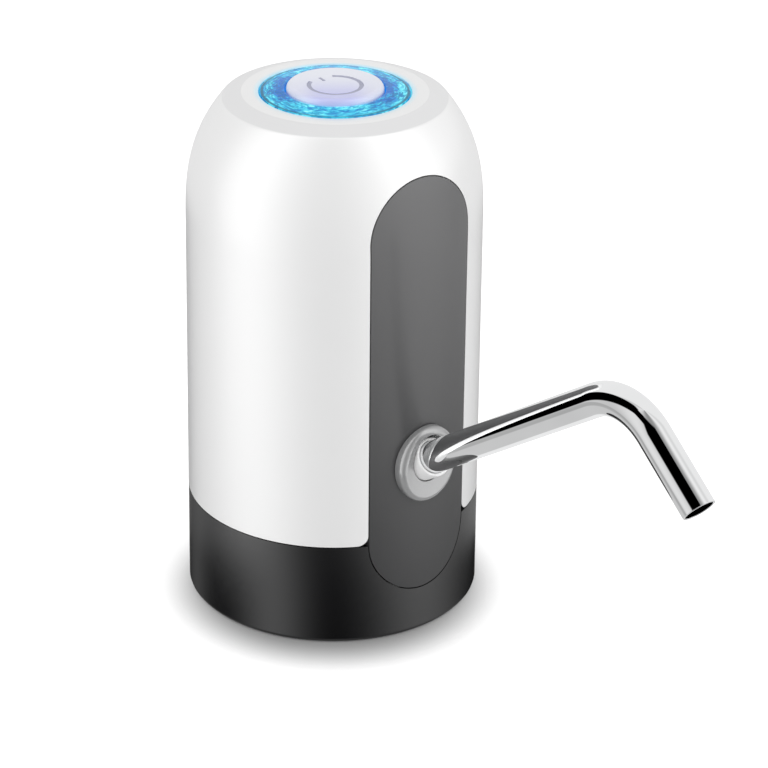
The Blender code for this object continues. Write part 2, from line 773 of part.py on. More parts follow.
def make_top_shell(frames, cutters, materials):
    foot = seam_z + SEAT_GAP
    under = top_z - CROWN_WALL
    inner = dome_points(SHELL_WALL, INNER_DOME_LEVELS)
    profile = [(ring_bore, top_z), (flat_radius, top_z)] + dome_points(0.0)
    profile += [(seam_radius, foot), (seam_radius - SHELL_WALL, foot)]
    profile += list(reversed(inner)) + [(flat_radius - CROWN_WALL / 2, under), (ring_bore, under)]
    shell = turned("top_shell", profile, frames.body, SHELL_STEPS)
    shell.data.materials.append(materials["white_gloss"])
    port_hole = prism(
        "port_hole",
        [rounded_rectangle(
            PORT_HALF_WIDTH + PORT_WALL + SEAT_GAP, PORT_HALF_HEIGHT + PORT_WALL + SEAT_GAP,
            PORT_CORNER + PORT_WALL, (0.0, port_z)
        )],
        -base_radius - OVERRUN,
        -usb_face,
        frames.body,
        math.pi / 2,
        cutter=True,
    )
    cut(shell, cutters.pocket, cutters.outlet_hole, port_hole)
    for side in (-1, 1):
        cut(shell, shell_corner(side, foot, frames))
    return shell


def shell_corner(side, foot, frames):
    """What rounds one of the shell's lower corners off, where its edge turns up beside the panel."""
    edge = PANEL_HALF_WIDTH + PANEL_SEAM
    outline = [(edge - OVERRUN, foot - OVERRUN), (edge - OVERRUN, foot + SHELL_CORNER)]
    for i in range(CORNER_STEPS + 2):
        angle = math.pi + math.pi / 2 * i / (CORNER_STEPS + 1)
        outline.append(
            (
                edge + SHELL_CORNER + SHELL_CORNER * math.cos(angle),
                foot + SHELL_CORNER + SHELL_CORNER * math.sin(angle),
            )
        )
    outline.append((edge + SHELL_CORNER, foot - OVERRUN))
    return prism(
        f"shell_corner_{'left' if side < 0 else 'right'}",
        [[(side * x, z) for x, z in outline]],
        spigot_radius / 2, base_radius + OVERRUN, frames.body, math.pi / 2, cutter=True,
    )


def make_front_panel(frames, cutters, materials):
    panel = panel_slice("front_panel", PANEL_WALL, 0.0, PANEL_HALF_WIDTH, frames, False)
    panel.data.materials.append(materials["panel_grey"])
    return cut(panel, cutters.outlet_hole)


def make_neck_socket(frames, materials):
    hole = NOZZLE_RADIUS + BARB_RISE + SEAT_GAP
    flange_radius = base_inner - SEAT_GAP
    profile = [
        (hole, deck_top),
        (socket_radius, deck_top),
        (socket_radius, flange_top),
        (flange_radius, flange_top),
        (flange_radius, SOCKET_LIFT),
        (neck_bore + SOCKET_LEAD, SOCKET_LIFT),
        (neck_bore, SOCKET_LIFT + SOCKET_LEAD),
        (neck_bore, deck_under),
        (hole, deck_under),
    ]
    socket = turned("neck_socket", profile, frames.body, RING_STEPS)
    socket.data.materials.append(materials["black_satin"])
    rib_circle = NECK_RADIUS + RIB_RADIUS
    ribs = drums(
        "grip_ribs",
        RIB_RADIUS,
        SOCKET_LIFT + SOCKET_LEAD + RIB_END_GAP,
        deck_under - SEAT_GAP - SEAL_WALL - RIB_END_GAP,
        circle(rib_circle, steps=RIB_COUNT),
        frames.body,
        SCREW_STEPS,
        cutter=True,
    )
    return cut(fuse(socket, ribs), base_screw_holes(frames))


def base_screw_circle():
    return neck_bore - SEAL_WIDTH - BASE_SCREW_HEAD_RADIUS - RIB_END_GAP - SEAT_GAP


def base_screw_centres():
    """Screw places round the deck, one of them straight behind the axis."""
    radius = base_screw_circle()
    angles = [math.pi / 2 + math.tau * i / BASE_SCREW_COUNT for i in range(BASE_SCREW_COUNT)]
    return [(radius * math.cos(a), radius * math.sin(a)) for a in angles]


def base_screw_holes(frames):
    return drums(
        "base_screw_holes",
        BASE_SCREW_RADIUS + SEAT_GAP,
        deck_under - OVERRUN,
        plate_top - SEAT_GAP,
        base_screw_centres(),
        frames.body,
        SCREW_STEPS,
        cutter=True,
    )


def make_neck_seal(frames, materials):
    outer = NECK_RADIUS - SEAT_GAP
    top = deck_under - SEAT_GAP
    seal = turned(
        "neck_seal",
        ring_profile(outer, neck_bore - SEAL_WIDTH, top - SEAL_WALL, top),
        frames.body,
    )
    seal.data.materials.append(materials["seal_grey"])
    return seal


def make_inlet(frames, materials):
    """Barbed nozzle for the dip hose, and the ring that seals its upper end in the pump."""
    flange_bottom = deck_top + SOLDER_GAP
    flange_z = pump_bottom - SEAT_GAP
    plug_top = pump_bottom + NOZZLE_PLUG_LENGTH
    barb_end = deck_under - OVERRUN - BARB_PITCH * BARB_COUNT
    profile = [
        (NOZZLE_BORE_RADIUS, plug_top),
        (NOZZLE_RADIUS, plug_top),
        (NOZZLE_RADIUS, flange_z),
        (NOZZLE_FLANGE_RADIUS, flange_z),
        (NOZZLE_FLANGE_RADIUS, flange_bottom),
        (NOZZLE_RADIUS, flange_bottom),
    ]
    for i in range(BARB_COUNT):
        ridge = deck_under - OVERRUN - BARB_PITCH * i
        profile += [(NOZZLE_RADIUS, ridge), (NOZZLE_RADIUS + BARB_RISE, ridge)]
    profile += [(NOZZLE_RADIUS - BARB_RISE / 2, barb_end), (NOZZLE_BORE_RADIUS, barb_end)]
    nozzle = turned("inlet_nozzle", profile, frames.body, SMALL_STEPS)
    nozzle.data.materials.append(materials["white_satin"])
    ring_radius = NOZZLE_RADIUS + RUN_GAP / 2 + O_RING_SECTION
    ring = o_ring(
        "inlet_o_ring", ring_radius, O_RING_SECTION, pump_bottom + NOZZLE_PLUG_LENGTH / 2, frames.body
    )
    ring.data.materials.append(materials["rubber_black"])
    return nozzle


def pump_screw_centres():
    x, y = pump_half_x - screw_inset, pump_half_y - screw_inset
    return [(sx * x, pump_middle + sy * y) for sx, sy in ((1, 1), (-1, 1), (-1, -1), (1, -1))]


def gear_centres():
    return [(-pitch_radius, gears_y), (pitch_radius, gears_y)]


def pump_outline():
    return rounded_rectangle(pump_half_x, pump_half_y, PUMP_CORNER, (0.0, pump_middle))


def pump_screw_holes(frames):
    return drums(
        "pump_screw_holes", PUMP_SCREW_RADIUS + SEAT_GAP, pump_top - PUMP_SCREW_BITE - SEAT_GAP,
        cover_top + OVERRUN, pump_screw_centres(), frames.body, SCREW_STEPS, cutter=True
    )


def gear_chamber(name, centre, frames):
    """The round room that one gear turns in."""
    return drums(
        name, chamber_radius, chamber_bottom, pump_top + OVERRUN, [centre],
        frames.body, ROUND_STEPS, cutter=True
    )


def inlet_passages(frames):
    """The socket that the nozzle plugs into, and the way up from it to the gears."""
    socket = drums(
        "inlet_socket", inlet_socket_radius, pump_bottom - OVERRUN,
        pump_bottom + NOZZLE_PLUG_LENGTH + SEAT_GAP, [(0.0, 0.0)],
        frames.body, SMALL_STEPS, cutter=True
    )
    passage = drums(
        "inlet_passage", PORT_RADIUS, pump_bottom, outlet_level + PORT_RADIUS, [(0.0, 0.0)],
        frames.body, SMALL_STEPS, cutter=True
    )
    return socket, passage


def outlet_passage(frames):
    start = gears_y - chamber_waist + PORT_RADIUS - pump_front
    end = -barb_length() - OVERRUN
    return turned(
        "outlet_passage",
        [(0.0, start), (OUTLET_BORE_RADIUS, start), (OUTLET_BORE_RADIUS, end), (0.0, end)],
        frames.body, SMALL_STEPS, (0.0, pump_front, outlet_level), -math.pi / 2, cutter=True,
    )


def pump_barb(frames):
    """The spigot at the pump's front that the hose fits over."""
    end = -barb_length()
    return turned(
        "pump_barb",
        [(0.0, OVERRUN), (HOSE_BARB_RADIUS, OVERRUN), (HOSE_BARB_RADIUS, end), (0.0, end)],
        frames.body, SMALL_STEPS, (0.0, pump_front, outlet_level), -math.pi / 2, cutter=True,
    )


def make_pump_body(frames, materials):
    left, right = gear_centres()
    body = prism("pump_body", [pump_outline()], pump_bottom, pump_top, frames.body)
    fuse(body, pump_barb(frames))
    cut(body, pump_screw_holes(frames))
    cut(body, gear_chamber("gear_chamber", left, frames))
    cut(body, gear_chamber("idler_chamber", right, frames))
    seats = drums(
        "shaft_seats", SHAFT_RADIUS + RUN_GAP, chamber_bottom - SHAFT_SEAT_DEPTH,
        chamber_bottom + OVERRUN, gear_centres(), frames.body, SMALL_STEPS, cutter=True
    )
    cut(body, seats, *inlet_passages(frames), outlet_passage(frames))
    body.data.materials.append(materials["pump_plastic"])


def make_pump_cover(frames, materials):
    left, right = gear_centres()
    cover = prism("pump_cover", [pump_outline()], cover_bottom, cover_top, frames.body)
    seal_pocket = drums(
        "seal_pocket", SEAL_POCKET_RADIUS, cover_top - SEAL_POCKET_DEPTH, cover_top + OVERRUN,
        [left], frames.body, SMALL_STEPS, cutter=True
    )
    shaft_hole = drums(
        "shaft_hole", SHAFT_RADIUS + RUN_GAP, cover_bottom - OVERRUN, cover_top + OVERRUN,
        [left], frames.body, SMALL_STEPS, cutter=True
    )
    pin_seat = drums(
        "pin_seat", SHAFT_RADIUS + RUN_GAP, cover_bottom - OVERRUN, cover_bottom + PIN_SEAT_DEPTH,
        [right], frames.body, SMALL_STEPS, cutter=True
    )
    head_seats = drums(
        "screw_head_seats", PUMP_SCREW_HEAD_RADIUS + SEAT_GAP,
        cover_top - PUMP_SCREW_HEAD_HEIGHT - SEAT_GAP, cover_top + OVERRUN,
        pump_screw_centres(), frames.body, SCREW_STEPS, cutter=True
    )
    cut(cover, seal_pocket, shaft_hole, pin_seat, pump_screw_holes(frames), head_seats)
    cover.data.materials.append(materials["pump_plastic"])


def make_shaft_seal(frames, materials):
    bottom = cover_top - SEAL_POCKET_DEPTH + SOLDER_GAP
    seal = turned(
        "shaft_seal",
        ring_profile(SEAL_POCKET_RADIUS - RUN_GAP, SHAFT_RADIUS + RUN_GAP, bottom, cover_top),
        frames.drive, SMALL_STEPS,
    )
    seal.data.materials.append(materials["rubber_black"])


def make_idler_pin(frames, materials):
    pin = drums(
        "idler_pin", SHAFT_RADIUS, chamber_bottom - SHAFT_SEAT_DEPTH + SEAT_GAP,
        cover_bottom + PIN_SEAT_DEPTH - SEAT_GAP, [(0.0, 0.0)], frames.idler
    )
    pin.data.materials.append(materials["steel"])


def make_pump_screws(frames, materials):
    head_bottom = cover_top - PUMP_SCREW_HEAD_HEIGHT
    tip = pump_top - PUMP_SCREW_BITE
    for index, centre in enumerate(pump_screw_centres()):
        screw = turned(
            f"pump_screw_{index + 1}",
            [(0.0, cover_top), (PUMP_SCREW_HEAD_RADIUS, cover_top),
             (PUMP_SCREW_HEAD_RADIUS, head_bottom), (PUMP_SCREW_RADIUS, head_bottom),
             (PUMP_SCREW_RADIUS, tip), (0.0, tip)],
            frames.body, SCREW_STEPS, (*centre, 0.0),
        )
        screw.data.materials.append(materials["steel"])


def make_gears(frames, materials):
    bore = circle(SHAFT_RADIUS + HOSE_FIT_GAP)
    running_bore = circle(SHAFT_RADIUS + RUN_GAP)
    drive = prism("drive_gear", [gear_outline(0.0), bore], gear_bottom, gear_top, frames.drive)
    drive.data.materials.append(materials["gear_white"])
    half_pitch = math.pi / GEAR_TEETH
    idler = prism(
        "idler_gear", [gear_outline(half_pitch), running_bore], gear_bottom, gear_top, frames.idler
    )
    idler.data.materials.append(materials["gear_white"])


def barb_length():
    """Half the way between the pump's face and the elbow's neck, less half the gap between the barbs."""
    return (pump_front - (knuckle_y + ELBOW_NECK_RADIUS) - SEAT_GAP) / 2


def make_motor_can(frames, materials):
    inner = MOTOR_RADIUS - MOTOR_WALL
    hole = BUSHING_RADIUS + SEAT_GAP
    floor = motor_bottom + MOTOR_WALL
    can = turned(
        "motor_can",
        [(inner, motor_top), (MOTOR_RADIUS, motor_top), (MOTOR_RADIUS, motor_bottom),
         (hole, motor_bottom), (hole, floor), (inner, floor)],
        frames.drive, ROUND_STEPS,
    )
    can.data.materials.append(materials["zinc"])


def make_motor_bushing(frames, materials):
    """The lower bearing, whose flange lies on the can's floor."""
    hub = SHAFT_RADIUS + RUN_GAP
    flange = BUSHING_RADIUS + SEAT_GAP + MOTOR_WALL
    top = motor_bottom + BUSHING_LENGTH
    seat = motor_bottom + MOTOR_WALL + SOLDER_GAP
    bushing = turned(
        "motor_bushing",
        [(hub, top), (flange, top), (flange, seat), (BUSHING_RADIUS, seat),
         (BUSHING_RADIUS, motor_bottom), (hub, motor_bottom)],
        frames.drive, SMALL_STEPS,
    )
    bushing.data.materials.append(materials["bronze"])


def make_magnets(frames, materials):
    """Two arc magnets against the can's wall: a ring, cut down to each side."""
    low = motor_middle - MAGNET_LENGTH / 2
    high = motor_middle + MAGNET_LENGTH / 2
    reach = MOTOR_RADIUS + OVERRUN
    for name, side in (("motor_magnet_left", -1), ("motor_magnet_right", 1)):
        magnet = turned(
            name, ring_profile(magnet_outer, magnet_inner, low, high), frames.drive, ROUND_STEPS
        )
        near, far = sorted((side * MAGNET_HALF_GAP, side * reach))
        half = block(
            name + "_half", (near, -reach, low - OVERRUN), (far, reach, high + OVERRUN),
            frames.drive, cutter=True,
        )
        keep_inside(magnet, half)
        magnet.data.materials.append(materials["ferrite"])


def make_armature(frames, materials):
    outline = slotted_outline(
        magnet_inner - ARMATURE_GAP, ARMATURE_SLOTS, ARMATURE_SLOT_HALF_WIDTH, ARMATURE_SLOT_DEPTH
    )
    armature = prism(
        "armature",
        [outline, circle(SHAFT_RADIUS + HOSE_FIT_GAP)],
        motor_middle - ARMATURE_LENGTH / 2, motor_middle + ARMATURE_LENGTH / 2, frames.drive,
    )
    armature.data.materials.append(materials["lamination"])


def make_commutator(frames, materials):
    bottom = motor_middle + ARMATURE_LENGTH / 2 + SEAT_GAP
    commutator = turned(
        "commutator",
        ring_profile(
            COMMUTATOR_RADIUS, SHAFT_RADIUS + HOSE_FIT_GAP, bottom, bottom + COMMUTATOR_LENGTH
        ),
        frames.drive, SMALL_STEPS,
    )
    commutator.data.materials.append(materials["copper"])


def make_motor_shaft(frames, materials):
    shaft = drums(
        "motor_shaft", SHAFT_RADIUS, chamber_bottom - SHAFT_SEAT_DEPTH + SEAT_GAP, shaft_top,
        [(0.0, 0.0)], frames.drive
    )
    shaft.data.materials.append(materials["steel"])


def make_motor_cap(frames, materials):
    """The moulded end cap, with the shaft's upper bearing hole in it."""
    hub = SHAFT_RADIUS + RUN_GAP
    bottom = motor_top + SOLDER_GAP
    cap = turned(
        "motor_end_cap",
        [(0.0, cap_top), (MOTOR_RADIUS - MOTOR_WALL, cap_top), (MOTOR_RADIUS, cap_top - MOTOR_WALL),
         (MOTOR_RADIUS, bottom), (hub, bottom), (hub, shaft_top + SEAT_GAP),
         (0.0, shaft_top + SEAT_GAP)],
        frames.drive, ROUND_STEPS,
    )
    cap.data.materials.append(materials["black_satin"])


def make_terminals(frames, materials):
    bottom = cap_top + SOLDER_GAP
    for name, side in (("motor_terminal_left", -1), ("motor_terminal_right", 1)):
        low_x = side * MOTOR_RADIUS / 2 - TERMINAL_WALL / 2
        terminal = block(
            name,
            (low_x, -TERMINAL_HALF_WIDTH, bottom),
            (low_x + TERMINAL_WALL, TERMINAL_HALF_WIDTH, bottom + TERMINAL_LENGTH),
            frames.drive,
        )
        terminal.data.materials.append(materials["copper"])


def elbow_arms(frames):
    """The elbow's knuckle, the spigot for the hose and the foot that stands on the chassis."""
    knuckle_mesh = mesh_of(
        lambda work: bmesh.ops.create_uvsphere(
            work, u_segments=KNUCKLE_SEGMENTS, v_segments=KNUCKLE_RINGS, radius=ELBOW_NECK_RADIUS
        )
    )
    knuckle = place(
        "elbow_knuckle", knuckle_mesh, frames.body, (0.0, knuckle_y, outlet_level), cutter=True
    )
    reach = ELBOW_NECK_RADIUS + barb_length()
    barb = turned(
        "elbow_barb",
        [(0.0, reach), (HOSE_BARB_RADIUS, reach), (HOSE_BARB_RADIUS, 0.0), (0.0, 0.0)],
        frames.body, SMALL_STEPS, (0.0, knuckle_y, outlet_level), -math.pi / 2, cutter=True,
    )
    foot = block(
        "elbow_foot",
        (-ELBOW_FOOT_HALF_WIDTH, knuckle_y - ELBOW_FOOT_HALF_WIDTH, plate_top + SEAT_GAP),
        (ELBOW_FOOT_HALF_WIDTH, knuckle_y + ELBOW_FOOT_HALF_WIDTH, outlet_level),
        frames.body, cutter=True,
    )
    return knuckle, barb, foot


def elbow_hollows(frames):
    """The socket that holds the ferrule, and the passage from the hose to it."""
    mouth = elbow_radius + OVERRUN
    socket = turned(
        "ferrule_socket",
        [(0.0, mouth), (elbow_bore, mouth), (elbow_bore, -elbow_seat),
         (ELBOW_PASSAGE_RADIUS, -elbow_seat), (ELBOW_PASSAGE_RADIUS, -ELBOW_DEPTH),
         (0.0, -ELBOW_DEPTH)],
        frames.spout, OUTLET_STEPS, cutter=True,
    )
    end = ELBOW_NECK_RADIUS + barb_length() + OVERRUN
    passage = turned(
        "elbow_passage",
        [(0.0, end), (OUTLET_BORE_RADIUS, end), (OUTLET_BORE_RADIUS, -OUTLET_BORE_RADIUS),
         (0.0, -OUTLET_BORE_RADIUS)],
        frames.body, SMALL_STEPS, (0.0, knuckle_y, outlet_level), -math.pi / 2, cutter=True,
    )
    return socket, passage


def make_elbow(frames, cutters, materials):
    """Elbow behind the panel: it holds the spout's ferrule and stands on the chassis."""
    shoulder = -elbow_seat - ELBOW_WALL
    mouth = elbow_radius + OVERRUN
    elbow = turned(
        "outlet_elbow",
        [(0.0, mouth), (elbow_radius, mouth), (elbow_radius, shoulder),
         (ELBOW_NECK_RADIUS, shoulder), (ELBOW_NECK_RADIUS, -ELBOW_DEPTH), (0.0, -ELBOW_DEPTH)],
        frames.spout, OUTLET_STEPS,
    )
    fuse(elbow, *elbow_arms(frames))
    cut(elbow, *elbow_hollows(frames))
    keep_inside(elbow, cutters.envelope)
    elbow.data.materials.append(materials["white_satin"])


def make_hose(frames, materials):
    """The short sleeve from the pump to the elbow."""
    inner = HOSE_BARB_RADIUS + HOSE_FIT_GAP
    start_y = knuckle_y + ELBOW_NECK_RADIUS
    hose = turned(
        "outlet_hose",
        ring_profile(inner + HOSE_WALL, inner, SEAT_GAP, pump_front - SEAT_GAP - start_y),
        frames.body, SMALL_STEPS, (0.0, start_y, outlet_level), -math.pi / 2,
    )
    hose.data.materials.append(materials["silicone"])


def make_ferrule(frames, materials):
    """The collar that the spout plugs into, which turns in the elbow, and the ring that seals it.

    The collar's thick part stays behind the rosette, which keeps it from coming out.
    """
    groove_top = collar_root - O_GROOVE_INSET
    groove_bottom = groove_top - O_GROOVE_WIDTH
    groove_radius = ferrule_radius - O_GROOVE_DEPTH
    seat = -SPOUT_PLUG_DEPTH - SEAT_GAP
    ferrule = turned(
        "spout_ferrule",
        [(ferrule_bore, COLLAR_REACH), (collar_radius - COLLAR_CHAMFER, COLLAR_REACH),
         (collar_radius, COLLAR_REACH - COLLAR_CHAMFER), (collar_radius, collar_root),
         (ferrule_radius, collar_root), (ferrule_radius, groove_top),
         (groove_radius, groove_top), (groove_radius, groove_bottom),
         (ferrule_radius, groove_bottom), (ferrule_radius, -ferrule_end),
         (spout_bore, -ferrule_end), (spout_bore, seat), (ferrule_bore, seat)],
        frames.spout, OUTLET_STEPS,
    )
    ferrule.data.materials.append(materials["white_gloss"])
    section = (elbow_bore - groove_radius - 2 * SOLDER_GAP) / 2
    seal = o_ring(
        "ferrule_o_ring", groove_radius + SOLDER_GAP + section, section,
        groove_top - O_GROOVE_WIDTH / 2, frames.spout
    )
    seal.data.materials.append(materials["rubber_black"])


def make_rosette(frames, cutters, materials):
    """The oval cover of the outlet's hole, with a rounded rim and a slightly dished face."""
    rim = ROSETTE_HALF_HEIGHT - ROSETTE_BEVEL
    profile = [(0.0, ROSETTE_RISE - ROSETTE_DISH), (collar_radius, ROSETTE_RISE - ROSETTE_DISH)]
    for level in range(BEVEL_LEVELS + 1):
        angle = math.pi / 2 * level / BEVEL_LEVELS
        profile.append(
            (rim + ROSETTE_BEVEL * math.sin(angle),
             ROSETTE_RISE - ROSETTE_BEVEL + ROSETTE_BEVEL * math.cos(angle))
        )
    profile += [(ROSETTE_HALF_HEIGHT, -ROSETTE_BEVEL), (0.0, -ROSETTE_BEVEL)]
    rosette = turned(
        "outlet_escutcheon", profile, frames.body, RING_STEPS,
        (0.0, outlet_y, outlet_z - ROSETTE_DROP), math.pi / 2,
    )
    rosette.scale.x = ROSETTE_HALF_WIDTH / ROSETTE_HALF_HEIGHT
    hole_radius = collar_radius + SEAT_GAP
    collar_hole = turned(
        "rosette_hole",
        [(0.0, ROSETTE_HALF_HEIGHT), (hole_radius, ROSETTE_HALF_HEIGHT),
         (hole_radius, -ROSETTE_HALF_HEIGHT), (0.0, -ROSETTE_HALF_HEIGHT)],
        frames.spout, OUTLET_STEPS, cutter=True,
    )
    cut(rosette, cutters.outer_envelope, collar_hole)
    rosette.data.materials.append(materials["rosette_grey"])


def spout_path(lead):
    """Centre line in the spout's own frame, run on straight at both ends by the lead."""
    path = [(0.0, 0.0, -SPOUT_PLUG_DEPTH - lead)]
    for i in range(BEND_STEPS + 1):
        turn = spout_turn * i / BEND_STEPS
        path.append(
            (
                0.0,
                -SPOUT_BEND_RADIUS * (1 - math.cos(turn)),
                SPOUT_RISE_LENGTH + SPOUT_BEND_RADIUS * math.sin(turn),
            )
        )
    _, y, z = path[-1]
    run = SPOUT_FALL_LENGTH + lead
    path.append((0.0, y - run * math.sin(spout_turn), z + run * math.cos(spout_turn)))
    return path


def make_spout(frames, materials):
    pipe = tube("spout_pipe", spout_path(0.0), SPOUT_RADIUS, PIPE_SIDES_STEP, frames.spout)
    bore = tube(
        "spout_bore", spout_path(OVERRUN), spout_bore, BORE_SIDES_STEP, frames.spout, cutter=True
    )
    cut(pipe, bore)
    pipe.data.materials.append(materials["chrome"])


def make_chassis(frames, materials):
    """Round plate, upright spine and top shelf in one moulding, with its saddle, bracket and posts."""
    chassis = turned(
        "chassis",
        ring_profile(plate_radius, NOZZLE_FLANGE_RADIUS + SEAT_GAP, plate_bottom, plate_top),
        frames.body,
    )
    spine = block(
        "chassis_spine",
        (-SPINE_HALF_WIDTH, spine_front, plate_bottom),
        (battery_x, spine_back, shelf_top),
        frames.body, cutter=True,
    )
    shelf = turned(
        "chassis_shelf",
        ring_profile(board_radius, CABLE_HOLE_RADIUS, shelf_bottom, shelf_top),
        frames.body, cutter=True,
    )
    fuse(chassis, spine, shelf, motor_saddle(frames))
    for piece in battery_bracket(frames):
        fuse(chassis, piece)
    cut(chassis, base_screw_holes(frames))
    for post in charge_board_posts(frames):
        fuse(chassis, post)
    chassis.data.materials.append(materials["chassis_white"])


def make_base_screws(frames, materials):
    """Screws that come up from inside the neck socket and hold deck and chassis together."""
    tip = plate_top - 2 * SEAT_GAP
    head_top = deck_under - SOLDER_GAP
    head_bottom = head_top - BASE_SCREW_HEAD_HEIGHT
    for index, centre in enumerate(base_screw_centres()):
        screw = turned(
            f"base_screw_{index + 1}",
            [(0.0, tip), (BASE_SCREW_RADIUS, tip), (BASE_SCREW_RADIUS, head_top),
             (BASE_SCREW_HEAD_RADIUS, head_top), (BASE_SCREW_HEAD_RADIUS, head_bottom),
             (0.0, head_bottom)],
            frames.body, SCREW_STEPS, (*centre, 0.0),
        )
        screw.data.materials.append(materials["steel"])


def charge_board_posts(frames):
    """Short posts on the spine's back that the charging board lies against."""
    radius = BASE_SCREW_RADIUS + PLATE_WALL / 2
    high, low = BOARD_STANDOFF - SEAT_GAP, -SPINE_WALL / 2
    return [
        turned(
            f"board_post_{index + 1}", [(0.0, high), (radius, high), (radius, low), (0.0, low)],
            frames.body, SCREW_STEPS, (x, spine_back, z), -math.pi / 2, cutter=True,
        )
        for index, (x, z) in enumerate(charge_post_places())
    ]


def motor_saddle(frames):
    """A rest on the spine that the motor's back lies in."""
    saddle = block(
        "motor_saddle",
        (-pitch_radius - SADDLE_HALF_WIDTH, gears_y, motor_middle - SADDLE_HEIGHT / 2),
        (-pitch_radius + SADDLE_HALF_WIDTH, spine_front + SPINE_WALL / 2,
         motor_middle + SADDLE_HEIGHT / 2),
        frames.body, cutter=True,
    )
    hollow = drums(
        "saddle_hollow", MOTOR_RADIUS + SEAT_GAP, motor_bottom, motor_top,
        [(-pitch_radius, gears_y)], frames.body, ROUND_STEPS, cutter=True
    )
    return cut(saddle, hollow)


def battery_bracket(frames):
    """A plate under the battery's holder, and the rib that carries it down to the chassis plate."""
    top = holder_bottom - SEAT_GAP
    plate = block(
        "bracket_plate",
        (pump_half_x + HOLDER_LIFT, battery_y - TAB_RADIUS, top - CRADLE_WALL),
        (battery_x + TAB_RADIUS, spine_front + SPINE_WALL / 2, top),
        frames.body, cutter=True,
    )
    rib = block(
        "bracket_rib",
        (pump_half_x + HOLDER_LIFT, battery_y - TAB_RADIUS, plate_bottom),
        (pump_half_x + HOLDER_LIFT + CRADLE_WALL, spine_front + SPINE_WALL / 2, top - CRADLE_WALL / 2),
        frames.body, cutter=True,
    )
    return plate, rib


def charge_post_places():
    inset = BASE_SCREW_RADIUS + PLATE_WALL
    x = CHARGE_BOARD_HALF_WIDTH - inset
    low = plate_top + CHARGE_BOARD_RISE + inset
    high = port_z + CHARGE_BOARD_HEADROOM - inset
    return [(-x, low), (x, low), (-x, high), (x, high)]


def make_battery_cell(frames, materials):
    collar_z = battery_top - CELL_NOSE_RISE
    cell = turned(
        "battery_cell",
        [(0.0, battery_top), (CELL_NOSE_RADIUS, battery_top), (CELL_NOSE_RADIUS, collar_z),
         (BATTERY_RADIUS - CELL_NOSE_RISE, collar_z), (BATTERY_RADIUS, collar_z - CELL_NOSE_RISE),
         (BATTERY_RADIUS, battery_bottom + CELL_NOSE_RISE),
         (BATTERY_RADIUS - CELL_NOSE_RISE, battery_bottom), (0.0, battery_bottom)],
        frames.battery, ROUND_STEPS,
    )
    cell.data.materials.append(materials["battery_wrap"])


def make_battery_holder(frames, materials):
    inner = BATTERY_RADIUS + SEAT_GAP
    holder = turned(
        "battery_holder",
        [(0.0, holder_top), (holder_radius, holder_top), (holder_radius, holder_bottom),
         (0.0, holder_bottom)],
        frames.battery, ROUND_STEPS,
    )
    hollow = turned(
        "holder_hollow",
        [(0.0, holder_top - HOLDER_WALL), (inner, holder_top - HOLDER_WALL),
         (inner, holder_bottom + HOLDER_WALL), (0.0, holder_bottom + HOLDER_WALL)],
        frames.battery, ROUND_STEPS, cutter=True,
    )
    opening = block(
        "holder_opening",
        (-holder_radius - OVERRUN, -holder_radius - OVERRUN, holder_bottom - OVERRUN),
        (holder_radius + OVERRUN, -RIB_RADIUS, holder_top + OVERRUN),
        frames.battery, cutter=True,
    )
    cut(holder, hollow, opening)
    holder.data.materials.append(materials["black_satin"])


def make_battery_tabs(frames, materials):
    """Spring contacts at the cell's two ends."""
    for name, middle in (
        ("battery_tab_lower", battery_bottom - TAB_ROOM / 2),
        ("battery_tab_upper", battery_top + TAB_ROOM / 2),
    ):
        tab = block(
            name,
            (-TAB_RADIUS, -TAB_RADIUS, middle - TAB_WALL / 2),
            (TAB_RADIUS, TAB_RADIUS, middle + TAB_WALL / 2),
            frames.battery,
        )
        tab.data.materials.append(materials["nickel"])


def make_charge_board(frames, materials):
    board = block(
        "charge_board",
        (-CHARGE_BOARD_HALF_WIDTH, charge_board_front, plate_top + CHARGE_BOARD_RISE),
        (CHARGE_BOARD_HALF_WIDTH, charge_board_back, port_z + CHARGE_BOARD_HEADROOM),
        frames.body,
    )
    board.data.materials.append(materials["board_green"])


def make_usb_receptacle(frames, materials):
    """Metal shell of the port, hollow at its mouth, with the contact tongue inside."""
    inner_x = USB_HALF_WIDTH - USB_SHELL_WALL
    inner_z = USB_HALF_HEIGHT - USB_SHELL_WALL
    usb = prism(
        "usb_receptacle",
        [rounded_rectangle(USB_HALF_WIDTH, USB_HALF_HEIGHT, USB_SHELL_WALL, (0.0, port_z))],
        -usb_face, -usb_front, frames.body, math.pi / 2,
    )
    mouth = prism(
        "usb_mouth",
        [rounded_rectangle(inner_x, inner_z, USB_SHELL_WALL, (0.0, port_z))],
        -usb_face - OVERRUN, -usb_face + USB_MOUTH_DEPTH, frames.body, math.pi / 2, cutter=True,
    )
    tongue_half = inner_z * USB_TONGUE_SHARE
    tongue = block(
        "usb_tongue",
        (-USB_HALF_WIDTH / 2, usb_face - USB_MOUTH_DEPTH - USB_SHELL_WALL, port_z - tongue_half / 2),
        (USB_HALF_WIDTH / 2, usb_face - USB_SHELL_WALL, port_z + tongue_half),
        frames.body, cutter=True,
    )
    fuse(cut(usb, mouth), tongue)
    usb.data.materials.append(materials["nickel"])


def port_outline(grow_x, grow_z, corner):
    """A rounded rectangle round the port's opening."""
    return rounded_rectangle(
        PORT_HALF_WIDTH + grow_x, PORT_HALF_HEIGHT + grow_z, corner, (0.0, port_z)
    )


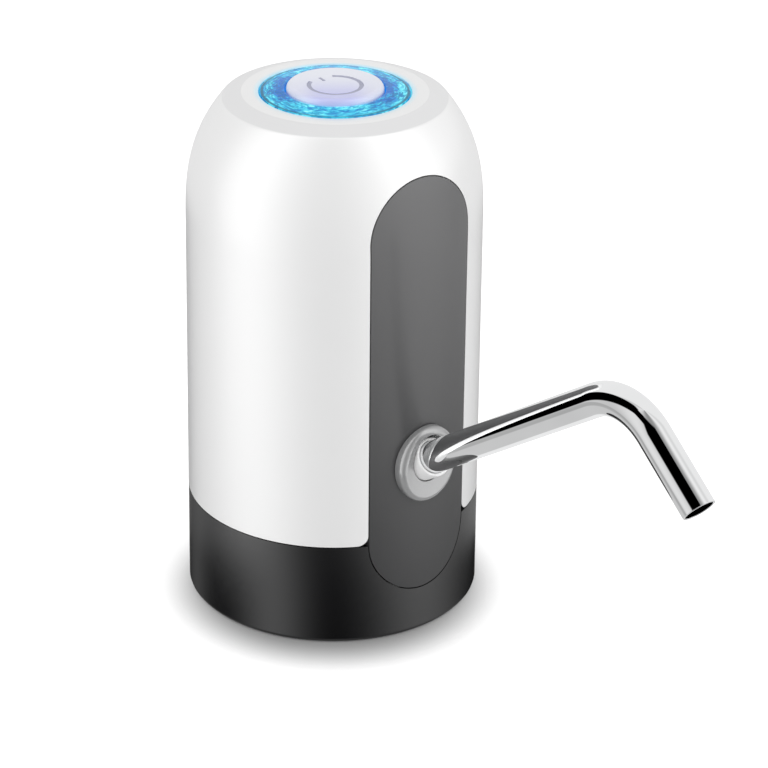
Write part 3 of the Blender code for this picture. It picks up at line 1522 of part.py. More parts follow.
def port_lip(frames):
    """The flange behind the shell's wall that keeps the frame from falling out."""
    reach = PORT_WALL + PORT_LIP
    inner_radius = radius_at(port_z, SHELL_WALL) - SEAT_GAP
    face = math.sqrt(inner_radius**2 - (PORT_HALF_WIDTH + reach) ** 2) - SEAT_GAP
    half_wall = PORT_WALL / 2
    return prism(
        "port_lip",
        [port_outline(reach, reach, PORT_CORNER + PORT_WALL),
         port_outline(half_wall, half_wall, PORT_CORNER + half_wall)],
        -face, -face + PORT_LIP_WALL, frames.body, math.pi / 2, cutter=True,
    )


def make_port_frame(frames, cutters, materials):
    frame = prism(
        "port_frame",
        [port_outline(PORT_WALL, PORT_WALL, PORT_CORNER + PORT_WALL), port_outline(0, 0, PORT_CORNER)],
        -base_radius - OVERRUN, -usb_face - SEAT_GAP, frames.body, math.pi / 2,
    )
    fuse(frame, port_lip(frames))
    keep_inside(frame, cutters.envelope)
    frame.data.materials.append(materials["black_satin"])


def make_control_board(frames, materials):
    board = turned(
        "control_board",
        [(0.0, board_top), (board_radius, board_top), (board_radius, board_bottom),
         (0.0, board_bottom)],
        frames.body, ROUND_STEPS,
    )
    board.data.materials.append(materials["board_green"])


def make_switch(frames, materials):
    """The switch's case on the board, and the plunger that the button's stem pushes."""
    switch = block(
        "tact_switch",
        (-SWITCH_HALF_WIDTH, -SWITCH_HALF_WIDTH, switch_bottom),
        (SWITCH_HALF_WIDTH, SWITCH_HALF_WIDTH, switch_top),
        frames.body,
    )
    well = drums(
        "plunger_well", PLUNGER_RADIUS + RUN_GAP,
        switch_top - PLUNGER_SEAT - BUTTON_TRAVEL - SEAT_GAP, switch_top + OVERRUN,
        [(0.0, 0.0)], frames.body, SMALL_STEPS, cutter=True
    )
    cut(switch, well)
    switch.data.materials.append(materials["switch_black"])
    plunger = drums(
        "switch_plunger", PLUNGER_RADIUS, switch_top - PLUNGER_SEAT, plunger_top,
        [(0.0, 0.0)], frames.button, SMALL_STEPS
    )
    plunger.data.materials.append(materials["gear_white"])


def make_ring_leds(frames, materials):
    """The lights on the board, in a circle under the ring."""
    led_circle = ring_lip_radius - RING_SKIRT_WALL - LED_HALF_LENGTH - SEAT_GAP
    for index in range(LED_COUNT):
        angle = math.tau * (index + 0.5) / LED_COUNT
        led = block(
            f"ring_led_{index + 1}",
            (-LED_HALF_WIDTH, -LED_HALF_LENGTH, 0.0),
            (LED_HALF_WIDTH, LED_HALF_LENGTH, LED_HEIGHT),
            frames.body,
            location=(led_circle * math.cos(angle), led_circle * math.sin(angle), switch_bottom),
            turn=angle,
        )
        led.data.materials.append(materials["led_white"])


def make_light_ring(frames, materials):
    """The clear ring: it climbs a little towards the button, and its skirt stands on the board."""
    skirt_inner = ring_lip_radius - RING_SKIRT_WALL
    lip_top = top_z - CROWN_WALL - SEAT_GAP
    foot = board_top + SEAT_GAP
    inner = BUTTON_RADIUS + SEAT_GAP
    inner_top = top_z + RING_CROWN
    ring = turned(
        "light_ring",
        [(inner + RING_BEVEL, inner_top), (RING_RADIUS, top_z), (RING_RADIUS, lip_top),
         (ring_lip_radius, lip_top), (ring_lip_radius, foot), (skirt_inner, foot),
         (skirt_inner, ring_bottom), (inner, ring_bottom), (inner, inner_top - RING_BEVEL)],
        frames.body, RING_STEPS,
    )
    ring.data.materials.append(materials["clear_blue"])


def make_button(frames, materials):
    """The cap: a slightly domed face with a rounded rim, a flange under the ring and a stem."""
    face = top_z + BUTTON_RISE
    rim = BUTTON_RADIUS - BUTTON_EDGE
    shoulder = face - BUTTON_CROWN
    soft = BUTTON_EDGE * BUTTON_EDGE_SHARE
    flange_radius = BUTTON_RADIUS + BUTTON_FLANGE
    flange_top_z = ring_bottom - SEAT_GAP
    flange_bottom_z = flange_top_z - BUTTON_FLANGE_WALL
    under = face - BUTTON_EDGE
    inner = BUTTON_RADIUS - BUTTON_WALL
    stem_end = plunger_top + SEAT_GAP
    button = turned(
        "power_button",
        [(0.0, face), (BUTTON_RADIUS / 2, face - BUTTON_CROWN * BUTTON_EDGE_SHARE),
         (rim, shoulder), (BUTTON_RADIUS - soft, shoulder - soft),
         (BUTTON_RADIUS, shoulder - BUTTON_EDGE), (BUTTON_RADIUS, flange_top_z),
         (flange_radius, flange_top_z), (flange_radius, flange_bottom_z), (inner, flange_bottom_z),
         (inner, under), (BUTTON_STEM_RADIUS, under), (BUTTON_STEM_RADIUS, stem_end),
         (0.0, stem_end)],
        frames.button, RING_STEPS,
    )
    button.data.materials.append(materials["button_white"])


def rounded_path(corners):
    """A path through straight runs, with each corner made a small bend."""
    path = [Vector(corners[0])]
    for before, corner, after in zip(corners, corners[1:], corners[2:]):
        corner = Vector(corner)
        start = corner + (Vector(before) - corner).normalized() * WIRE_BEND_RADIUS
        end = corner + (Vector(after) - corner).normalized() * WIRE_BEND_RADIUS
        for i in range(WIRE_BEND_STEPS + 1):
            t = i / WIRE_BEND_STEPS
            path.append(start.lerp(corner, t).lerp(corner.lerp(end, t), t))
    path.append(Vector(corners[-1]))
    return path


def make_wires(frames, materials):
    """Motor and battery leads, which reach the control board through the hole in the chassis shelf."""
    board_end = board_bottom - SEAT_GAP
    terminal_end = motor_top + END_CAP_WALL + TERMINAL_LENGTH + SEAT_GAP + 2 * SOLDER_GAP
    bend_z = holder_top - 2 * WIRE_BEND_RADIUS
    tab_front = battery_y - TAB_RADIUS - SEAT_GAP - WIRE_RADIUS
    cell_front = battery_y - BATTERY_RADIUS - SEAT_GAP - 2 * WIRE_RADIUS
    upper_z = battery_top + SEAT_GAP + WIRE_RADIUS
    lower_z = battery_bottom - SEAT_GAP - WIRE_RADIUS
    leads = {}
    for side, name in ((-1, "motor_lead_red"), (1, "motor_lead_black")):
        x = -pitch_radius + side * MOTOR_RADIUS / 2
        end_x = (side - 1) * WIRE_SPREAD / 2
        leads[name] = [
            (x, gears_y, terminal_end),
            (x, gears_y, (terminal_end + bend_z) / 2),
            (end_x, gears_y / 2, bend_z),
            (end_x, gears_y / 2, board_end),
        ]
    leads["battery_lead_red"] = [
        (battery_x, tab_front, upper_z),
        (WIRE_SPREAD, tab_front, upper_z),
        (WIRE_SPREAD, tab_front, board_end),
    ]
    leads["battery_lead_black"] = [
        (battery_x, tab_front, lower_z),
        (battery_x, cell_front, lower_z),
        (battery_x, cell_front, bend_z),
        (WIRE_SPREAD, cell_front, bend_z),
        (WIRE_SPREAD, cell_front, board_end),
    ]
    for name, corners in leads.items():
        lead = tube(name, rounded_path(corners), WIRE_RADIUS, WIRE_SIDES_STEP, frames.body)
        lead.data.materials.append(materials["wire_red" if name.endswith("red") else "wire_black"])


def make_materials():
    return {
        "white_gloss": finish_material("white_gloss", (0.86, 0.87, 0.87), 0.22),
        "white_satin": finish_material("white_satin", (0.80, 0.80, 0.80), 0.40),
        "black_gloss": finish_material("black_gloss", (0.012, 0.012, 0.013), 0.18),
        "black_satin": finish_material("black_satin", (0.02, 0.02, 0.022), 0.45),
        "panel_grey": finish_material("panel_grey", (0.10, 0.10, 0.105), 0.24),
        "rosette_grey": finish_material("rosette_grey", (0.42, 0.43, 0.43), 0.35),
        "seal_grey": finish_material("seal_grey", (0.55, 0.56, 0.57), 0.60),
        "chrome": finish_material("chrome", (0.80, 0.81, 0.82), 0.06, 1.0),
        "steel": finish_material("steel", (0.56, 0.57, 0.58), 0.25, 1.0),
        "zinc": finish_material("zinc", (0.62, 0.63, 0.64), 0.32, 1.0),
        "nickel": finish_material("nickel", (0.66, 0.65, 0.60), 0.25, 1.0),
        "bronze": finish_material("bronze", (0.55, 0.36, 0.17), 0.35, 1.0),
        "copper": finish_material("copper", (0.72, 0.39, 0.22), 0.30, 1.0),
        "lamination": finish_material("lamination", (0.22, 0.22, 0.23), 0.45, 1.0),
        "ferrite": finish_material("ferrite", (0.06, 0.06, 0.065), 0.70),
        "pump_plastic": finish_material("pump_plastic", (0.13, 0.14, 0.15), 0.40),
        "gear_white": finish_material("gear_white", (0.78, 0.77, 0.72), 0.35),
        "chassis_white": finish_material("chassis_white", (0.72, 0.73, 0.73), 0.50),
        "battery_wrap": finish_material("battery_wrap", (0.05, 0.16, 0.42), 0.30),
        "board_green": finish_material("board_green", (0.02, 0.16, 0.07), 0.40),
        "switch_black": finish_material("switch_black", (0.03, 0.03, 0.03), 0.40),
        "led_white": finish_material("led_white", (0.82, 0.80, 0.62), 0.30),
        "clear_blue": finish_material("clear_blue", (0.02, 0.42, 0.90), 0.10),
        "button_white": finish_material("button_white", (0.80, 0.78, 0.90), 0.25),
        "silicone": finish_material("silicone", (0.80, 0.80, 0.78), 0.50),
        "rubber_black": finish_material("rubber_black", (0.02, 0.02, 0.02), 0.70),
        "wire_red": finish_material("wire_red", (0.50, 0.03, 0.03), 0.45),
        "wire_black": finish_material("wire_black", (0.03, 0.03, 0.03), 0.45),
    }


def shade_round_pieces():
    """Bakes each piece's modifiers and scale into its mesh and shades it smooth between sharp edges."""
    bpy.context.view_layer.update()
    graph = bpy.context.evaluated_depsgraph_get()
    finished = {}
    for obj in PARTS.objects:
        if obj.type == "MESH":
            finished[obj] = bpy.data.meshes.new_from_object(obj.evaluated_get(graph))
    for obj, mesh in finished.items():
        obj.modifiers.clear()
        obj.data = mesh
        mesh.transform(Matrix.Diagonal((*obj.scale, 1.0)))
        obj.scale = (1.0, 1.0, 1.0)
        mesh.shade_smooth()
        mesh.set_sharp_from_angle(angle=SMOOTH_ANGLE)


def main():
    clear_scene()
    materials = make_materials()
    frames = Frames()
    cutters = Cutters(frames)
    for make in (make_base_cup, make_top_shell, make_front_panel, make_elbow, make_rosette,
                 make_port_frame):
        make(frames, cutters, materials)
    for make in (make_neck_socket, make_neck_seal, make_inlet, make_chassis, make_base_screws,
                 make_pump_body, make_pump_cover, make_shaft_seal, make_idler_pin,
                 make_pump_screws, make_gears, make_motor_can, make_motor_bushing, make_magnets,
                 make_armature, make_commutator, make_motor_shaft, make_motor_cap,
                 make_terminals, make_hose, make_ferrule, make_spout, make_battery_cell,
                 make_battery_holder, make_battery_tabs, make_charge_board,
                 make_usb_receptacle, make_control_board, make_switch, make_ring_leds,
                 make_light_ring, make_button, make_wires):
        make(frames, materials)
    shade_round_pieces()


main()
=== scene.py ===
"""Looks of a rechargeable pump that stands on the neck of a water bottle.

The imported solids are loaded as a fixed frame. The outside of the pump is then modelled again at a
finer scale round them: the domed shell and its crown, the base, the front panel, the outlet with
its spout, the lit ring with the button, the charging port and the neck socket. Every other solid
keeps its shape and gets a finish of its own.

All lengths are metres. +Z is up and the spout leaves towards -Y.
"""

from __future__ import annotations

import json
import logging
import math
from collections.abc import Sequence
from dataclasses import dataclass
from enum import Enum

import bpy
from mathutils import Matrix, Vector

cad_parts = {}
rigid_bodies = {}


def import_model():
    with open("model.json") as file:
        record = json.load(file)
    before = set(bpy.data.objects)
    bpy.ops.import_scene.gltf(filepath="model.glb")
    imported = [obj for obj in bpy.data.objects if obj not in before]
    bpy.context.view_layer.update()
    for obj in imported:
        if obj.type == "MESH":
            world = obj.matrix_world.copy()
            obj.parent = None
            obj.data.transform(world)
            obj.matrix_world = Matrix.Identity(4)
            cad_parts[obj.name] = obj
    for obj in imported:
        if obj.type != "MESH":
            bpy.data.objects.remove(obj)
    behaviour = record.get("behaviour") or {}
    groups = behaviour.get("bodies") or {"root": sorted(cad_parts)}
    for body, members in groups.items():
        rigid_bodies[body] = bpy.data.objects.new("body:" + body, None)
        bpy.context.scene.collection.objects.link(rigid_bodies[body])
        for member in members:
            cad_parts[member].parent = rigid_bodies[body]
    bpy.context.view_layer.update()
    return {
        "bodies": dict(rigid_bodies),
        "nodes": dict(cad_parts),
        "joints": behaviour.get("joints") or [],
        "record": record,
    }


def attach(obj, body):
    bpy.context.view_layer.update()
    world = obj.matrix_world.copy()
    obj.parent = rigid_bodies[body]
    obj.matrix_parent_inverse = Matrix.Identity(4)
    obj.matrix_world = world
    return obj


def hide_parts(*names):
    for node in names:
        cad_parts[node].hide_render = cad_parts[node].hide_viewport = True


LOG = logging.getLogger("water_pump")
MM = 0.001
MICRON = 0.001 * MM
RIGHT_ANGLE = math.pi / 2
Outline = list[tuple[float, float]]
Colour = tuple[float, float, float]
Place = tuple[float, float, float]
Lobe = tuple[float, float, float]
Span = tuple[float, float]

# The body's upright axis, and level directions from it towards the camera and to the camera's
# right, along which light and shade are painted on the button and the ring.
AXIS_Y = 0.0467466
AXIS_FOOT = (0.0, AXIS_Y, 0.0)
TOWARDS_CAMERA = (-0.608, -0.794, 0.0)
CAMERA_RIGHTWARD = (0.794, -0.608, 0.0)

# How far a cutting shape reaches past what it cuts, and the share of a corner's room that its
# rounding takes, so that two roundings that meet don't cross.
MARGIN = 1.0 * MM
CORNER_SHARE = 0.99999

# How far a corner may be off a turned surface and still take its normal, and how closely two
# slopes, or a face and the surface, have to agree for it.
OFF_SURFACE = 0.04 * MM
SAME_SLOPE = 0.95
SAME_SIDE = 0.9


# Shader maths as Python expressions


class Field:
    """A shader socket that takes part in Python arithmetic, each operation adding its node."""

    def __init__(self, graph: "Graph", socket: bpy.types.NodeSocket) -> None:
        """Wraps a socket.

        Args:
            graph: the node graph that the socket belongs to.
            socket: an output socket, with a value on it.
        """
        self.graph = graph
        self.socket = socket

    def maths(self, operation: str, *others: "Field | float") -> "Field":
        """Adds a Math node on this value.

        Args:
            operation: the node's operation.
            others: its further inputs.

        Returns:
            The node's value.
        """
        return self.graph.maths(operation, self, *others)

    def __add__(self, other: "Field | float") -> "Field":
        """The sum with another value."""
        return self.maths("ADD", other)

    __radd__ = __add__

    def __sub__(self, other: "Field | float") -> "Field":
        """The difference from another value."""
        return self.maths("SUBTRACT", other)

    def __rsub__(self, other: float) -> "Field":
        """A plain number less this value."""
        return self.graph.maths("SUBTRACT", other, self)

    def __mul__(self, other: "Field | float") -> "Field":
        """The product with another value."""
        return self.maths("MULTIPLY", other)

    __rmul__ = __mul__

    def __truediv__(self, other: "Field | float") -> "Field":
        """This value over another."""
        return self.maths("DIVIDE", other)

    def __pow__(self, other: "Field | float") -> "Field":
        """This value to a power."""
        return self.maths("POWER", other)

    def ramp_between(self, low: float, high: float) -> "Field":
        """Runs smoothly from 0 where this value is low to 1 where it is high.

        Args:
            low: the value that gives 0.
            high: the value that gives 1.

        Returns:
            The eased share, held between 0 and 1.
        """
        return self.graph.value(
            "ShaderNodeMapRange",
            {"interpolation_type": "SMOOTHSTEP"},
            {"Value": self, "From Min": low, "From Max": high, "To Min": 0.0, "To Max": 1.0},
        )

    def band(self, low: float, high: float, soft: float) -> "Field":
        """Is 1 between two values and falls to 0 outside them.

        Args:
            low: where the band starts.
            high: where it ends.
            soft: the width of each of its edges.

        Returns:
            The share inside the band.
        """
        return self.ramp_between(low - soft, low) * (1.0 - self.ramp_between(high, high + soft))

    def into(self, other: "Field | float", share: "Field") -> "Field":
        """Turns this value into another.

        Args:
            other: the value that it becomes.
            share: how far it has turned, from 0 to 1.

        Returns:
            The value between the two.
        """
        return self * (1.0 - share) + share * other


class Graph:
    """The node graph of one material, or of the room round the object."""

    def __init__(self, owner: bpy.types.Material | bpy.types.World) -> None:
        """Starts an empty graph.

        Args:
            owner: the material or world that the graph belongs to.
        """
        self.owner = owner
        owner.use_nodes = True
        self.tree = owner.node_tree
        self.tree.nodes.clear()
        output = "Generated" if isinstance(owner, bpy.types.World) else "Object"
        self.place = self.node("ShaderNodeTexCoord").outputs[output]

    @classmethod
    def named(cls, name: str) -> "Graph":
        """A new material's graph."""
        return cls(bpy.data.materials.new(name))

    def node(
        self,
        kind: str,
        settings: dict[str, object] | None = None,
        inputs: dict[str | int, object] | None = None,
    ) -> bpy.types.Node:
        """Adds a node.

        Args:
            kind: the node's type.
            settings: its properties, which are set first.
            inputs: values or links for its sockets, by name or number.

        Returns:
            The node.
        """
        made = self.tree.nodes.new(kind)
        for name, value in (settings or {}).items():
            if name == "stops":
                self.set_stops(made, value)
            else:
                setattr(made, name, value)
        for name, value in (inputs or {}).items():
            self.connect(made.inputs[name], value)
        return made

    @staticmethod
    def set_stops(ramp: bpy.types.Node, stops: Sequence[tuple[float, Sequence[float]]]) -> None:
        """Gives a colour ramp its stops.

        Args:
            ramp: the ramp's node.
            stops: places from 0 to 1 with their colours.
        """
        elements = ramp.color_ramp.elements
        while len(elements) < len(stops):
            elements.new(1.0)
        for element, (place, colour) in zip(elements, stops):
            element.position = place
            element.color = (*colour, 1.0)

    def connect(self, socket: bpy.types.NodeSocket, value: object) -> None:
        """Links a socket, or sets its own value.

        Args:
            socket: the input.
            value: a field, a socket, a number, a colour or a vector.
        """
        if isinstance(value, Field):
            value = value.socket
        if isinstance(value, bpy.types.NodeSocket):
            self.tree.links.new(value, socket)
        elif socket.type == "RGBA" and len(value) == 3:
            socket.default_value = (*value, 1.0)
        else:
            socket.default_value = value

    def value(
        self,
        kind: str,
        settings: dict[str, object] | None = None,
        inputs: dict[str | int, object] | None = None,
        output: str | int = 0,
    ) -> Field:
        """Adds a node and wraps one of its outputs.

        Args:
            kind: the node's type.
            settings: its properties.
            inputs: values or links for its sockets.
            output: the output's name or number.

        Returns:
            The output as a field.
        """
        return Field(self, self.node(kind, settings, inputs).outputs[output])

    def maths(self, operation: str, *values: Field | float) -> Field:
        """Adds a Math node.

        Args:
            operation: its operation.
            values: its inputs in order.

        Returns:
            Its value.
        """
        return self.value("ShaderNodeMath", {"operation": operation}, dict(enumerate(values)))

    def axis(self, name: str) -> Field:
        """One coordinate of the surface's place on the object, in metres.

        Args:
            name: X, Y or Z.

        Returns:
            The coordinate.
        """
        return self.value("ShaderNodeSeparateXYZ", None, {0: self.place}, name)

    def along(
        self, direction: Sequence[float], start: Sequence[float] = (0.0, 0.0, 0.0)
    ) -> Field:
        """How far the place lies in a direction.

        Args:
            direction: a vector of length 1.
            start: the point that the distance is counted from.

        Returns:
            The distance.
        """
        reached = self.value(
            "ShaderNodeVectorMath",
            {"operation": "DOT_PRODUCT"},
            {0: self.place, 1: tuple(direction)},
            "Value",
        )
        return reached - sum(one * two for one, two in zip(direction, start))

    def from_axis(self) -> Field:
        """Distance in metres from the body's upright axis."""
        across, onward = self.axis("X"), self.axis("Y") - AXIS_Y
        return (across * across + onward * onward) ** 0.5

    def ray(self, *kinds: str) -> Field:
        """Whether the light that is followed came here on a ray of some kinds.

        Args:
            kinds: outputs of the Light Path node.

        Returns:
            1 on such a ray and 0 on any other.
        """
        path = self.node("ShaderNodeLightPath").outputs
        found = Field(self, path[kinds[0]])
        for kind in kinds[1:]:
            found = found.maths("MAXIMUM", Field(self, path[kind]))
        return found

    def vector(self, x: Field | float, y: Field | float, z: Field | float) -> Field:
        """Three numbers as one vector.

        Args:
            x: the first.
            y: the second.
            z: the third.

        Returns:
            The vector.
        """
        return self.value("ShaderNodeCombineXYZ", None, {0: x, 1: y, 2: z})

    def ramp(self, share: Field, stops: Sequence[tuple[float, Colour]]) -> Field:
        """Colours a share by a row of stops.

        Args:
            share: the share, from 0 to 1.
            stops: places with their colours.

        Returns:
            The colour.
        """
        return self.value("ShaderNodeValToRGB", {"stops": stops}, {0: share})

    def noise(
        self, scale: float, detail: float = 2.0, roughness: float = 0.5, distortion: float = 0.0,
        place: object | None = None,
    ) -> Field:
        """Cloudy variation from 0 to 1.

        Args:
            scale: how many clouds a metre holds.
            detail: how many finer layers it has.
            roughness: how strong the finer layers are.
            distortion: how far the clouds are pulled about.
            place: what the pattern reads, or nothing for the object's own coordinates.

        Returns:
            The variation.
        """
        return self.value(
            "ShaderNodeTexNoise",
            None,
            {
                "Vector": self.place if place is None else place,
                "Scale": scale,
                "Detail": detail,
                "Roughness": roughness,
                "Distortion": distortion,
            },
        )

    def stretched(self, scale: tuple[float, float, float]) -> Field:
        """Object coordinates drawn out along some axes.

        Args:
            scale: the factor on each axis.

        Returns:
            The new coordinates.
        """
        return self.value("ShaderNodeMapping", None, {"Vector": self.place, "Scale": scale})

    def mix(self, share: Field | float, first: object, second: object) -> Field:
        """Mixes two colours.

        Args:
            share: how much of the second colour is in it.
            first: a colour or a field of colours.
            second: a colour or a field of colours.

        Returns:
            The mixed colour.
        """
        mixer = self.node("ShaderNodeMix", {"data_type": "RGBA"})
        self.connect(mixer.inputs[0], share)
        self.connect(mixer.inputs[6], first)
        self.connect(mixer.inputs[7], second)
        return Field(self, mixer.outputs[2])

    def bump(self, height: Field, depth: float) -> Field:
        """Turns heights into a bent normal.

        Args:
            height: the relief, from 0 to 1.
            depth: the relief's depth in metres.

        Returns:
            The normal.
        """
        return self.value("ShaderNodeBump", None, {"Height": height, "Distance": depth})

    def finish(self, values: dict[str, object]) -> bpy.types.Material:
        """Ends the graph in one shader.

        Args:
            values: the shader's inputs by name.

        Returns:
            The finished material.
        """
        shader = self.node("ShaderNodeBsdfPrincipled", None, values)
        output = self.node("ShaderNodeOutputMaterial")
        self.tree.links.new(shader.outputs[0], output.inputs[0])
        return self.owner


# Finishes


@dataclass(frozen=True)
class Moulded:
    """An injection-moulded plastic or rubber, with faint flow marks and a fine skin."""

    name: str
    colour: Colour
    roughness: float
    skin: float = 4.0 * MICRON
    skin_scale: float = 2600.0
    flow: float = 0.03
    coat: float = 0.0
    coat_ior: float = 1.5
    coat_roughness: float = 0.06
    specular: float = 0.5
    flow_scale: float = 38.0
    flow_shine: float = 0.05
    skin_shine: float = 0.04

    def tint(self, graph: Graph, colour: Field) -> Field:
        """What the finish adds to its plain colour, which is nothing here."""
        return colour

    def material(self) -> bpy.types.Material:
        """Builds the material.

        Returns:
            The material.
        """
        graph = Graph.named(self.name)
        flow = graph.noise(self.flow_scale, detail=3.0, roughness=0.55, distortion=0.6)
        skin = graph.noise(self.skin_scale, roughness=0.6)
        darker = tuple(channel * (1.0 - 2.0 * self.flow) for channel in self.colour)
        plain = graph.mix(flow.ramp_between(0.35, 0.75), self.colour, darker)
        least = self.roughness - (self.flow_shine + self.skin_shine) / 2.0
        return graph.finish(
            {
                "Base Color": self.tint(graph, plain),
                "Roughness": flow * self.flow_shine + skin * self.skin_shine + least,
                "Normal": graph.bump(skin, self.skin),
                "Specular IOR Level": self.specular,
                "Coat Weight": self.coat,
                "Coat IOR": self.coat_ior,
                "Coat Roughness": self.coat_roughness,
            }
        )


@dataclass(frozen=True)
class GlossWithPaintedLight(Moulded):
    """White gloss, with painted shade that greys the crown's chamfer a little and painted cyan
    light from the ring on the crown round it.
    """

    # The chamfer's grey is painted shade.
    chamfer: Colour = (0.715, 0.715, 0.72)
    chamfer_radius: Span = (21.9 * MM, 22.1 * MM)
    chamfer_height: Span = (126.62 * MM, 126.68 * MM)
    # Painted light: the ring's cyan glow on the white crown round it.
    painted_ring_light: Colour = (0.42, 0.80, 0.98)
    ring_light_share: float = 0.75
    ring_light_radius: Span = (17.7 * MM, 19.6 * MM)
    ring_light_height: Span = (126.9 * MM, 127.2 * MM)

    def tint(self, graph: Graph, colour: Field) -> Field:
        """Paints shade on the chamfer, greying it a little, and paints the ring's cyan light on the
        crown.

        Args:
            graph: the material's graph.
            colour: the plain colour.

        Returns:
            The colour with its painted shade and light.
        """
        radius, height = graph.from_axis(), graph.axis("Z")
        band = radius.ramp_between(*self.chamfer_radius) * (
            height.ramp_between(*self.chamfer_height)
        )
        # Painted light from the ring, strongest next to it on the crown.
        ring_light_mask = (1.0 - radius.ramp_between(*self.ring_light_radius)) * (
            height.ramp_between(*self.ring_light_height)
        )
        # Painted shade: the chamfer band greyed.
        colour = graph.mix(band, colour, self.chamfer)
        return graph.mix(ring_light_mask * self.ring_light_share, colour, self.painted_ring_light)


@dataclass(frozen=True)
class TrimLitFromAbove(Moulded):
    """Dark trim that grows lighter towards its top, in part as painted light from above."""

    # The colour at the top, lighter in part by painted light from above.
    upper: Colour = (0.150, 0.150, 0.152)
    low: float = 10.0 * MM
    high: float = 118.0 * MM

    def tint(self, graph: Graph, colour: Field) -> Field:
        """Lightens the trim with height, in part as painted light from above.

        Args:
            graph: the material's graph.
            colour: the colour at its foot.

        Returns:
            The colour, lighter with height.
        """
        height = (graph.axis("Z") - self.low) * (1.0 / (self.high - self.low))
        return graph.mix(height.maths("MINIMUM", 1.0).maths("MAXIMUM", 0.0), colour, self.upper)


@dataclass(frozen=True)
class RingLitCap(Moulded):
    """The button's pearly white, with violet light and shade painted towards the camera's side."""

    violet: Colour = (0.53, 0.54, 0.83)
    violet_rise: Span = (-7.35 * MM, 7.875 * MM)
    middle_half: Span = (2.625 * MM, 9.975 * MM)
    side_share: float = 0.25

    def tint(self, graph: Graph, colour: Field) -> Field:
        """Paints violet light and shade towards the camera's side, most in the middle.

        Args:
            graph: the material's graph.
            colour: the plain colour.

        Returns:
            The colour with its painted light and shade.
        """
        # Painted light and shade: violet towards the camera, strongest in the middle and weaker at
        # the sides.
        nearer = graph.along(TOWARDS_CAMERA, AXIS_FOOT).ramp_between(*self.violet_rise)
        aside = graph.along(CAMERA_RIGHTWARD, AXIS_FOOT).maths("ABSOLUTE")
        middle = 1.0 - aside.ramp_between(*self.middle_half)
        share = middle * (1.0 - self.side_share) + self.side_share
        return graph.mix(nearer * share, colour, self.violet)


@dataclass(frozen=True)
class LitRing:
    """Clear plastic lit from below: pale ripples over deep blue, with shade and light painted in by
    where the camera stands.
    """

    name: str
    inner: float = 11.8 * MM
    outer: float = 17.6 * MM
    strength: float = 0.92
    relief: float = 60.0 * MICRON
    swirl_share: float = 0.44
    thread_share: float = 0.34
    end_light_share: float = 0.06
    least_share: float = 0.10
    side_shade_share: float = 0.46
    blues: tuple[tuple[float, Colour], ...] = (
        (0.0, (0.001, 0.12, 0.50)),
        (0.20, (0.003, 0.23, 0.60)),
        (0.38, (0.010, 0.38, 0.66)),
        (0.56, (0.040, 0.58, 0.78)),
        (0.76, (0.13, 0.78, 0.90)),
        (1.0, (0.46, 0.94, 1.0)),
    )
    streak: Colour = (0.004, 0.15, 0.27)
    # Painted shade along the outer edge, where the ring meets the shell.
    rim_shade_blue: Colour = (0.008, 0.12, 0.20)
    lip_pale: Colour = (0.55, 0.92, 1.0)
    unlit: Colour = (0.0, 0.015, 0.04)

    @staticmethod
    def ripples(
        graph: Graph, around: float, outwards: float, roughness: float, distortion: float
    ) -> Field:
        """Clouds that flow round the ring.

        Args:
            graph: the material's graph.
            around: how fine they are round the ring.
            outwards: how many of them a metre holds from the inside out.
            roughness: how strong their finer layers are.
            distortion: how far they are pulled about.

        Returns:
            The clouds, from 0 to 1.
        """
        away = graph.from_axis()
        x, y = graph.axis("X") / away, (graph.axis("Y") - AXIS_Y) / away
        place = graph.vector(x * around, y * around, away * outwards)
        return graph.noise(1.0, roughness=roughness, distortion=distortion, place=place)

    def material(self) -> bpy.types.Material:
        """Builds the material.

        Returns:
            The material.
        """
        graph = Graph.named(self.name)
        inner, outer, width = self.inner, self.outer, self.outer - self.inner
        swirl = self.ripples(graph, 3.2, 480.0, 0.5, 0.9).ramp_between(0.36, 0.66)
        threads = self.ripples(graph, 7.0, 1250.0, 0.55, 1.2).ramp_between(0.40, 0.68)
        away = graph.from_axis()
        # Painted shade and light by where the camera stands: the blue is deepened at the ring's
        # left and right, and lightened towards its near and far ends.
        side = (graph.along(CAMERA_RIGHTWARD, AXIS_FOOT) / away).maths("ABSOLUTE")
        depth = side.ramp_between(0.50, 0.95) * (
            1.0 - away.ramp_between(inner + 0.25 * width, inner + 0.7 * width)
        )
        ends = 1.0 - side.ramp_between(0.10, 0.62)
        # Painted shade: a dark outline just inside the outer edge.
        rim = away.ramp_between(outer - 1.0 * MM, outer - 0.55 * MM) * (
            1.0 - away.ramp_between(outer - 0.25 * MM, outer - 0.05 * MM)
        )
        lip = 1.0 - away.ramp_between(inner + 0.1 * MM, inner + 0.9 * MM)
        streaks = (1.0 - threads.ramp_between(0.0, 0.4)) * (1.0 - lip)
        glow = (
            swirl * self.swirl_share
            + threads * self.thread_share
            + ends * self.end_light_share
            + self.least_share
            - depth * self.side_shade_share
        )
        colour = graph.ramp(glow, self.blues)
        # The streaks and the dark outline grow stronger at the left and right, as painted shade.
        colour = graph.mix(streaks * (side * 0.35 + 0.2), colour, self.streak)
        colour = graph.mix(rim * (side * 0.5 + 0.45), colour, self.rim_shade_blue)
        colour = graph.mix(lip * 0.5 * (1.0 - depth), colour, self.lip_pale)
        return graph.finish(
            {
                "Base Color": graph.mix(0.85, colour, self.unlit),
                "Emission Color": colour,
                "Emission Strength": self.strength,
                "Roughness": threads * 0.10 + 0.10,
                "Normal": graph.bump(swirl * 0.6 + threads * 0.4, self.relief),
                "Specular IOR Level": 0.3,
            }
        )


class Working(Enum):
    """How a metal surface was worked."""

    TURNED = (1.0, 1.0, 60.0)
    DRAWN = (40.0, 40.0, 1.0)
    CAST = (1.0, 1.0, 1.0)


